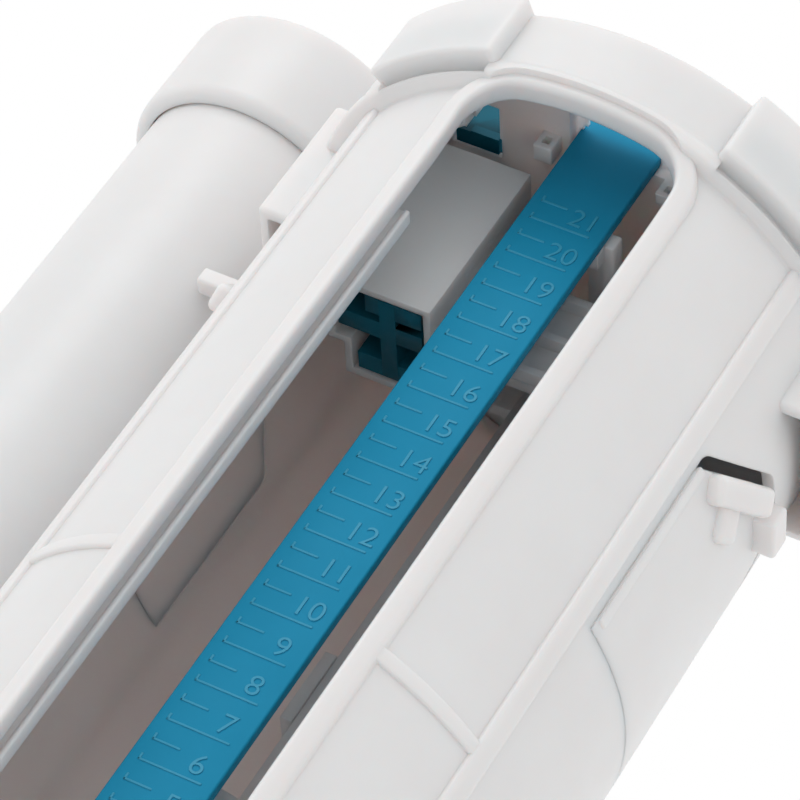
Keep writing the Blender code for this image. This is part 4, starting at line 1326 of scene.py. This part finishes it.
@dataclass(frozen=True)
class Base:
    """The outlet seat with its flange, threaded shank, spindle guide, tower spigot and pipe socket."""

    steps: int = 144
    flange: Limits = (6.3, 12.3)
    flange_radius: float = 62.0
    shank_radius: float = 43.0
    shank_neck: Limits = (-2.2, -1.0)
    shank_end: float = -45.0
    root_radius: float = 41.7
    bore: float = 37.0
    seat_top: float = 26.0
    seat_lip: float = 39.0
    seat_radius: float = 40.0
    seat_slope: float = 3.0
    spigot: Limits = (52.2, 54.8)
    spigot_top: float = 24.3
    spigot_sink: float = 1.0
    thread: Limits = (-42.0, -4.0)
    thread_pitch: float = 4.0
    thread_sink: float = 0.5
    thread_foot: float = 0.42
    thread_land: float = 0.12
    thread_steps: int = 72
    socket: Limits = (25.6, 28.8)
    socket_top: float = 34.0
    socket_steps: int = 96
    reach: float = 5.0
    floor: float = 9.1
    duct_half: float = 14.0
    duct_top: float = 23.0
    duct_wall: float = 2.4
    duct_starts: Limits = (1.0, -4.0)
    duct_lifts: Limits = (0.5, 0.2)
    duct_rounds: Limits = (1.0, 0.5)
    hub: Limits = (4.5, 8.5)
    hub_z: Limits = (-10.0, 8.0)
    hub_round: float = 0.5
    arms: int = 3
    arm_half: float = 1.5
    arm_lap: float = 2.0
    arm_insets: Limits = (1.0, 2.0)
    arm_round: float = 0.6
    gasket: Limits = (43.3, 60.0)
    gasket_z: Limits = (0.0, 6.0)
    gasket_round: float = 1.1
    washer: Limits = (-11.7, -9.5)
    washer_round: float = 0.5
    nut_radius: float = 54.0
    nut: Limits = (-26.0, -12.0)
    nut_round: float = 0.9
    lugs: int = 8
    lug: float = 5.0
    lug_root: float = 2.0
    lug_insets: Limits = (0.5, 2.0)
    lug_round: float = 1.2
    pipe: Overflow = Overflow()

    def build(self, bench: Bench) -> None:
        """Make the base and its clamp.

        Args:
            bench: Where they are made.
        """
        self._base(bench)
        clamp = (self.gasket[0], self.nut_radius)
        gasket = self._ring(self.gasket, self.gasket_z, self.gasket_round)
        bench.piece("flange_gasket", gasket, RUBBER, "frame")
        bench.piece("nut_washer", self._ring(clamp, self.washer, self.washer_round), WHITE, "frame")
        z = (self.nut[0] + self.lug_insets[0], self.nut[1] - self.lug_insets[1])
        lugs = [block((self.nut_radius - self.lug_root, self.nut_radius + self.lug), (-self.lug, self.lug), z,
                      self.lug_round, 360.0 * (i + 0.5) / self.lugs) for i in range(self.lugs)]
        bench.piece("lock_nut", self._ring(clamp, self.nut, self.nut_round), WHITE, "nut",
                    bench.tools(Operation.ADD, lugs))

    def _ring(self, radii: Limits, z: Limits, edge: float) -> Mesh:
        """A plain ring with round edges, half as round inside."""
        return turned(ring_profile(radii, z, edge, edge / 2), self.steps)

    def _base(self, bench: Bench) -> None:
        """The base moulding.

        Args:
            bench: Where it is made.
        """
        under, top = self.flange
        corners = [(self.seat_lip, self.seat_top, 0.7),
                   (self.seat_radius, self.seat_top - self.seat_slope, 0.7),
                   (self.seat_radius, top, 0.9), (self.flange_radius, top, 1.2),
                   (self.flange_radius, under, 0.9), (self.shank_radius, under, 0.0),
                   (self.shank_radius, self.shank_neck[1], 0.3), (self.root_radius, self.shank_neck[0], 0.3),
                   (self.root_radius, self.shank_end, 0.8), (self.bore, self.shank_end, 0.8),
                   (self.bore, self.seat_top, 0.7)]
        centre = self.pipe.centre()
        socket = drum(self.socket[1], (under, self.socket_top), self.socket_steps, centre)
        well = drum(self.socket[0], (self.floor, self.socket_top + self.reach), self.socket_steps, centre)
        duct = self._duct(0, self.duct_half, (under, self.duct_top))
        channel = self._duct(1, self.duct_half - self.duct_wall, (self.floor, self.duct_top - self.duct_wall))
        spigot = self._ring(self.spigot, (under + self.spigot_sink, self.spigot_top), self.hub_round)
        steps = bench.tools(Operation.ADD, (self._thread(), spigot, socket, duct))
        steps += bench.tools(Operation.CUT, (well, channel))
        steps += bench.tools(Operation.ADD, self._guide())
        bench.piece("valve_base", turned(corners, self.steps), WHITE, "frame", steps)

    def _duct(self, layer: int, half: float, z: Limits) -> Mesh:
        """The duct from the bore to the pipe's socket.

        Args:
            layer: Its outside (0) or its inside (1).
            half: Half its width.
            z: The level that its foot is lifted from, and its top.

        Returns:
            The closed bmesh.
        """
        return block((self.bore + self.duct_starts[layer], self.pipe.distance), (-half, half),
                     (z[0] + self.duct_lifts[layer], z[1]), self.duct_rounds[layer], self.pipe.azimuth)

    def _guide(self) -> list[Mesh]:
        """The arms and the hub that guide the spindle.

        Returns:
            The closed bmeshes.
        """
        x = (self.hub[1] - self.arm_lap, self.bore + self.arm_lap)
        z = (self.hub_z[0] + self.arm_insets[0], self.hub_z[1] - self.arm_insets[1])
        arms = [block(x, (-self.arm_half, self.arm_half), z, self.arm_round, 360.0 * i / self.arms)
                for i in range(self.arms)]
        return arms + [self._ring(self.hub, self.hub_z, self.hub_round)]

    def _thread(self) -> Mesh:
        """The ridge that winds round the shank.

        Returns:
            The closed bmesh.
        """
        root, crest = self.root_radius - self.thread_sink, self.shank_radius
        foot, land = self.thread_foot * self.thread_pitch, self.thread_land * self.thread_pitch
        low, high = self.thread
        bm = bmesh.new()
        section = ((root, -foot), (crest, -land), (crest, land), (root, foot))
        flat_face(bm, [(r, 0.0, low + h) for r, h in section])
        turns = (high - low) / self.thread_pitch
        count = int(turns * self.thread_steps)
        spun(bm, everything(bm), math.tau * turns, count, (high - low) * MM / count)
        bmesh.ops.recalc_face_normals(bm, faces=bm.faces[:])
        return bm


@dataclass(frozen=True)
class LiftTrain:
    """The turned pieces that rise with the graduated rod: spindle, seal, its retainer and the float."""

    steps: int = 96
    spindle: tuple[Corner, ...] = (
        (9.9, 134.0, 0.6), (9.9, 130.0, 0.6), (8.0, 130.0, 0.5), (8.0, 29.6, 0.3), (5.7, 29.6, 0.0),
        (5.7, 26.0, 0.2), (4.2, 25.0, 0.2), (4.2, -6.0, 0.8), (0.0, -6.0, 0.0), (0.0, 37.3, 0.0),
        (5.5, 37.3, 0.3), (5.5, 134.0, 0.4))
    seal: tuple[Corner, ...] = ((43.5, 29.3, 1.2), (43.5, 26.3, 0.5), (6.0, 26.3, 0.2), (6.0, 29.3, 0.2))
    retainer: tuple[Corner, ...] = (
        (31.0, 34.1, 1.0), (34.0, 31.1, 0.6), (34.0, 29.6, 0.4), (8.3, 29.6, 0.2), (8.3, 34.1, 0.4))
    bell: tuple[Corner, ...] = (
        (28.0, 74.0, 1.0), (30.0, 72.0, 1.0), (30.0, 44.0, 0.5), (28.2, 44.0, 0.5), (28.2, 71.2, 1.5),
        (10.1, 71.2, 1.0), (10.1, 44.0, 0.3), (8.3, 44.0, 0.3), (8.3, 74.0, 0.3))

    def build(self, bench: Bench) -> None:
        """Make each turned piece.

        Args:
            bench: Where they are made.
        """
        rows = (("spindle", self.spindle, WHITE_SHARP), ("seal_disc", self.seal, SILICONE),
                ("seal_retainer", self.retainer, WHITE_SHARP), ("full_float", self.bell, WHITE_SHARP))
        for node, corners, finish in rows:
            bench.piece(node, turned(corners, self.steps), finish, "lift")


@dataclass(frozen=True)
class Ruler:
    """The graduated lift rod with raised marks and numbers."""

    half: float = 9.0
    face: float = -31.0
    thickness: float = 2.6
    ends: Limits = (78.0, 303.0)
    edge: float = 0.45
    zero: float = 60.0
    unit: float = 10.0
    first: int = 3
    last: int = 21
    left: float = -6.8
    right: float = 6.4
    short: float = -0.9
    mark: float = 0.5
    mark_round: float = 0.14
    tick: float = 1.4
    relief: float = 0.22
    sunk: float = 0.2
    digits: float = 6.6
    digit_middle: float = 3.7
    digit_lift: float = 1.4
    digit_thinning: float = 0.04
    digit_weld: float = 0.002
    digit_steps: int = 4

    def build(self, bench: Bench) -> None:
        """Make the rod and the marks on its face.

        Args:
            bench: Where they are made.
        """
        rod = block((-self.half, self.half), (self.face, self.face + self.thickness), self.ends, self.edge)
        bench.piece("ruler_rod", rod, TEAL, "lift")
        marks = bmesh.new()
        for number in range(self.first, self.last + 1):
            level = self.zero + self.unit * number
            self._bar(marks, self.right, level)
            self._bar(marks, self.short, level + self.unit / 2)
            self._number(marks, number, level)
        # The marks take the lighter teal, a painted highlight of their lit edges.
        bench.dress(bench.solid("ruler_marks", marks), TEAL_PAINTED_HIGHLIGHT, "lift")

    def _bar(self, marks: Mesh, end: float, level: float) -> None:
        """Add one raised mark with the small tick at its left end.

        Args:
            marks: Where to add it.
            end: Its right end.
            level: Its height.
        """
        half = self.mark / 2
        depth = (self.face - self.relief, self.face + self.sunk)
        for right, top in ((end, level + half), (self.left + self.mark, level + self.tick)):
            join_into(marks, block((self.left, right), depth, (level - half, top), self.mark_round))

    def _number(self, marks: Mesh, number: int, level: float) -> None:
        """Add one raised number above its long mark.

        Args:
            marks: Where to add it.
            number: What it reads.
            level: Height of its long mark.
        """
        text = bpy.data.curves.new("number", "FONT")
        text.body = str(number)
        text.size = self.digits * MM
        text.align_x = "CENTER"
        text.offset = -self.digit_thinning * MM
        text.resolution_u = self.digit_steps
        obj = bpy.data.objects.new("number", text)
        bpy.context.scene.collection.objects.link(obj)
        graph = bpy.context.evaluated_depsgraph_get()
        mesh = bpy.data.meshes.new_from_object(obj.evaluated_get(graph))
        shape = bmesh.new()
        shape.from_mesh(mesh)
        bmesh.ops.remove_doubles(shape, verts=shape.verts[:], dist=self.digit_weld * MM)
        draw_out(shape, (0.0, 0.0, (self.relief + self.sunk) * MM))
        spot = Vector((self.digit_middle, self.face + self.sunk, level + self.digit_lift)) * MM
        shape.transform(Matrix.Translation(spot) @ Matrix.Rotation(math.radians(90.0), 4, "X"))
        join_into(marks, shape)
        bpy.data.meshes.remove(mesh)
        bpy.data.objects.remove(obj)
        bpy.data.curves.remove(text)


@dataclass(frozen=True)
class PlainPieces:
    """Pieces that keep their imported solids' shape, with a few joined or cut blocks and rounded edges."""

    edge: float = 0.4
    plunger_edge: float = 0.65
    white: tuple[tuple[str, str], ...] = (
        ("full_rocker_pin", "frame"), ("half_rocker_pin", "frame"), ("lift_crosshead", "lift"),
        ("rod_foot", "lift"), ("half_rod", "half_lift"), ("half_float", "float"))
    teal: tuple[tuple[str, str], ...] = (
        ("half_plunger", "half_button"), ("full_rocker", "full_lever"), ("half_rocker", "half_lever"))
    web_x: Limits = (-15.4, 15.4)
    web_y: Limits = (-15.0, -12.4)
    web: Limits = (243.0, 267.6)
    ledge_y: Limits = (-18.2, -14.5)
    ledges: tuple[Limits, ...] = ((263.6, 265.4), (253.0, 254.8), (243.2, 245.0))
    clear_x: Limits = (-50.0, -5.0)
    clear_y: Limits = (-40.0, 1.0)
    neck_x: float = -26.2
    neck: Limits = (285.7, 303.0)
    plate_back: float = -18.6
    post_front: float = -12.0
    gap_top: float = 293.0
    plate: Box = ((-36.0, -26.2), (-22.4, -18.6), (293.0, 303.6))
    bar_x: float = -29.8
    bar_y: float = -17.2
    bar_bottom: float = 200.0

    def build(self, bench: Bench) -> None:
        """Dress a clean copy of each solid.

        Args:
            bench: Where they are made.
        """
        # The teal pieces here take the darker teal with painted shade.
        for rows, finish in ((self.white, WHITE_SHARP), (self.teal, TEAL_PAINTED_SHADE)):
            for node, body in rows:
                bench.softened(node, body, finish, self.edge)
        bridge = [block(self.web_x, self.web_y, self.web)]
        bridge += [block(self.web_x, self.ledge_y, z) for z in self.ledges]
        bench.softened("head_frame", "frame", WHITE_SHARP, self.edge, bench.tools(Operation.ADD, bridge))
        steps = bench.tools(Operation.CUT, self._relief())
        steps += bench.tools(Operation.ADD, [block(*self.plate)])
        # The full plunger also takes the darker teal with painted shade.
        bench.softened("full_plunger", "full_button", TEAL_PAINTED_SHADE, self.plunger_edge, steps)

    def _relief(self) -> list[Mesh]:
        """What is cut from the full plunger's neck and bar, so that a plate and a post are left.

        Returns:
            The cutters.
        """
        low, high = self.neck
        left, right = self.clear_x
        front, back = self.clear_y
        return [block((self.neck_x, right), (front, back), (low, high)),
                block((left, right), (front, self.post_front), (low, self.gap_top)),
                block((left, right), (self.plate_back, self.post_front), (low, high)),
                block((left, self.bar_x), (front, self.bar_y), (self.bar_bottom, low))]


@dataclass(frozen=True)
class Lamp:
    """A square soft light, with its places and size in metres."""

    name: str
    place: tuple[float, float, float]
    aim: tuple[float, float, float]
    size: float
    power: float

    def build(self) -> None:
        """Hang the lamp and turn it to its aim."""
        light = bpy.data.lights.new(self.name, "AREA")
        light.shape = "SQUARE"
        light.size = self.size
        light.energy = self.power
        obj = bpy.data.objects.new(self.name, light)
        obj.location = self.place
        obj.rotation_euler = (Vector(self.aim) - Vector(self.place)).to_track_quat("-Z", "Y").to_euler()
        bpy.context.scene.collection.objects.link(obj)


@dataclass(frozen=True)
class Studio:
    """Camera, lamps, world and floor.

    Places and lengths are metres, the lens and sensor millimetres and the camera's turn degrees.
    """

    lens: float = 203.3
    sensor: float = 36.0
    clip: Limits = (0.01, 20.0)
    eye: tuple[float, float, float] = (0.292187, -0.677128, -0.271288)
    turn: tuple[float, float, float] = (130.19074, -28.898686, 2.582881)
    ambient: float = 0.84
    backdrop: float = 1.0
    floor_half: float = 1.2
    floor_drop: float = 0.0002
    floor_colour: tuple[float, float, float] = (0.86, 0.86, 0.86)
    floor_roughness: float = 0.9
    lamps: tuple[Lamp, ...] = (
        Lamp("key", (-0.55, -0.95, 0.85), (0.0, -0.03, 0.22), 0.7, 2.7),
        Lamp("fill", (0.9, -0.8, 0.1), (0.0, 0.0, 0.2), 0.9, 0.4),
    )

    def build(self) -> None:
        """Set up the stage."""
        self._camera()
        self._world()
        self._floor()
        for lamp in self.lamps:
            lamp.build()
        bpy.context.scene.view_settings.view_transform = "Standard"

    def _camera(self) -> None:
        """The photograph's camera."""
        data = bpy.data.cameras.new("camera")
        data.sensor_width = self.sensor
        data.lens = self.lens
        data.clip_start, data.clip_end = self.clip
        cam = bpy.data.objects.new("camera", data)
        cam.location = self.eye
        cam.rotation_euler = Euler([math.radians(a) for a in self.turn], "XYZ")
        bpy.context.scene.collection.objects.link(cam)
        bpy.context.scene.camera = cam

    def _world(self) -> None:
        """White where it is seen directly, mirrored or through a clear face, and soft light elsewhere."""
        world = bpy.data.worlds.new("studio")
        bpy.context.scene.world = world
        world.use_nodes = True
        tree = world.node_tree
        path = tree.nodes.new("ShaderNodeLightPath")
        blend = tree.nodes.new("ShaderNodeMix")
        blend.data_type = "FLOAT"
        blend.inputs[2].default_value = self.ambient
        blend.inputs[3].default_value = self.backdrop
        shade = tree.nodes["Background"]
        shade.inputs["Color"].default_value = (1.0, 1.0, 1.0, 1.0)
        seen = path.outputs["Is Camera Ray"]
        for ray in ("Is Glossy Ray", "Is Transmission Ray"):
            both = tree.nodes.new("ShaderNodeMath")
            both.operation = "MAXIMUM"
            tree.links.new(seen, both.inputs[0])
            tree.links.new(path.outputs[ray], both.inputs[1])
            seen = both.outputs[0]
        tree.links.new(seen, blend.inputs[0])
        tree.links.new(blend.outputs[0], shade.inputs["Strength"])

    def _floor(self) -> None:
        """A pale floor under the shank's end, open to a camera that looks up from below it."""
        bm = bmesh.new()
        bmesh.ops.create_grid(bm, x_segments=1, y_segments=1, size=self.floor_half)
        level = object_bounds()[0].z - self.floor_drop
        bm.transform(Matrix.Translation((0.0, 0.0, level)))
        mesh = bpy.data.meshes.new("floor")
        bm.to_mesh(mesh)
        bm.free()
        floor = bpy.data.objects.new("floor", mesh)
        bpy.context.scene.collection.objects.link(floor)
        floor.data.materials.append(self._floor_material())
        floor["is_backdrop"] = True

    def _floor_material(self) -> bpy.types.Material:
        """Matt pale paint on the upper face only.

        Returns:
            The material.
        """
        mat = bpy.data.materials.new("floor_paint")
        mat.use_nodes = True
        tree = mat.node_tree
        shader = tree.nodes["Principled BSDF"]
        shader.inputs["Base Color"].default_value = (*self.floor_colour, 1.0)
        shader.inputs["Roughness"].default_value = self.floor_roughness
        clear = tree.nodes.new("ShaderNodeBsdfTransparent")
        side = tree.nodes.new("ShaderNodeNewGeometry")
        blend = tree.nodes.new("ShaderNodeMixShader")
        tree.links.new(side.outputs["Backfacing"], blend.inputs[0])
        tree.links.new(shader.outputs[0], blend.inputs[1])
        tree.links.new(clear.outputs[0], blend.inputs[2])
        tree.links.new(blend.outputs[0], tree.nodes["Material Output"].inputs["Surface"])
        return mat


def main() -> None:
    """Build the stage and every sub-assembly."""
    logging.basicConfig(level=logging.INFO, format="%(message)s")
    for obj in list(bpy.data.objects):
        bpy.data.objects.remove(obj, do_unlink=True)
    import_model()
    bench = Bench()
    Studio().build()
    for assembly in (Tower(), Latch(), Cover(), Overflow(), Base(), LiftTrain(), Ruler(), PlainPieces()):
        assembly.build(bench)
        LOG.info("%s done", type(assembly).__name__)


if __name__ == "__main__":
    main()
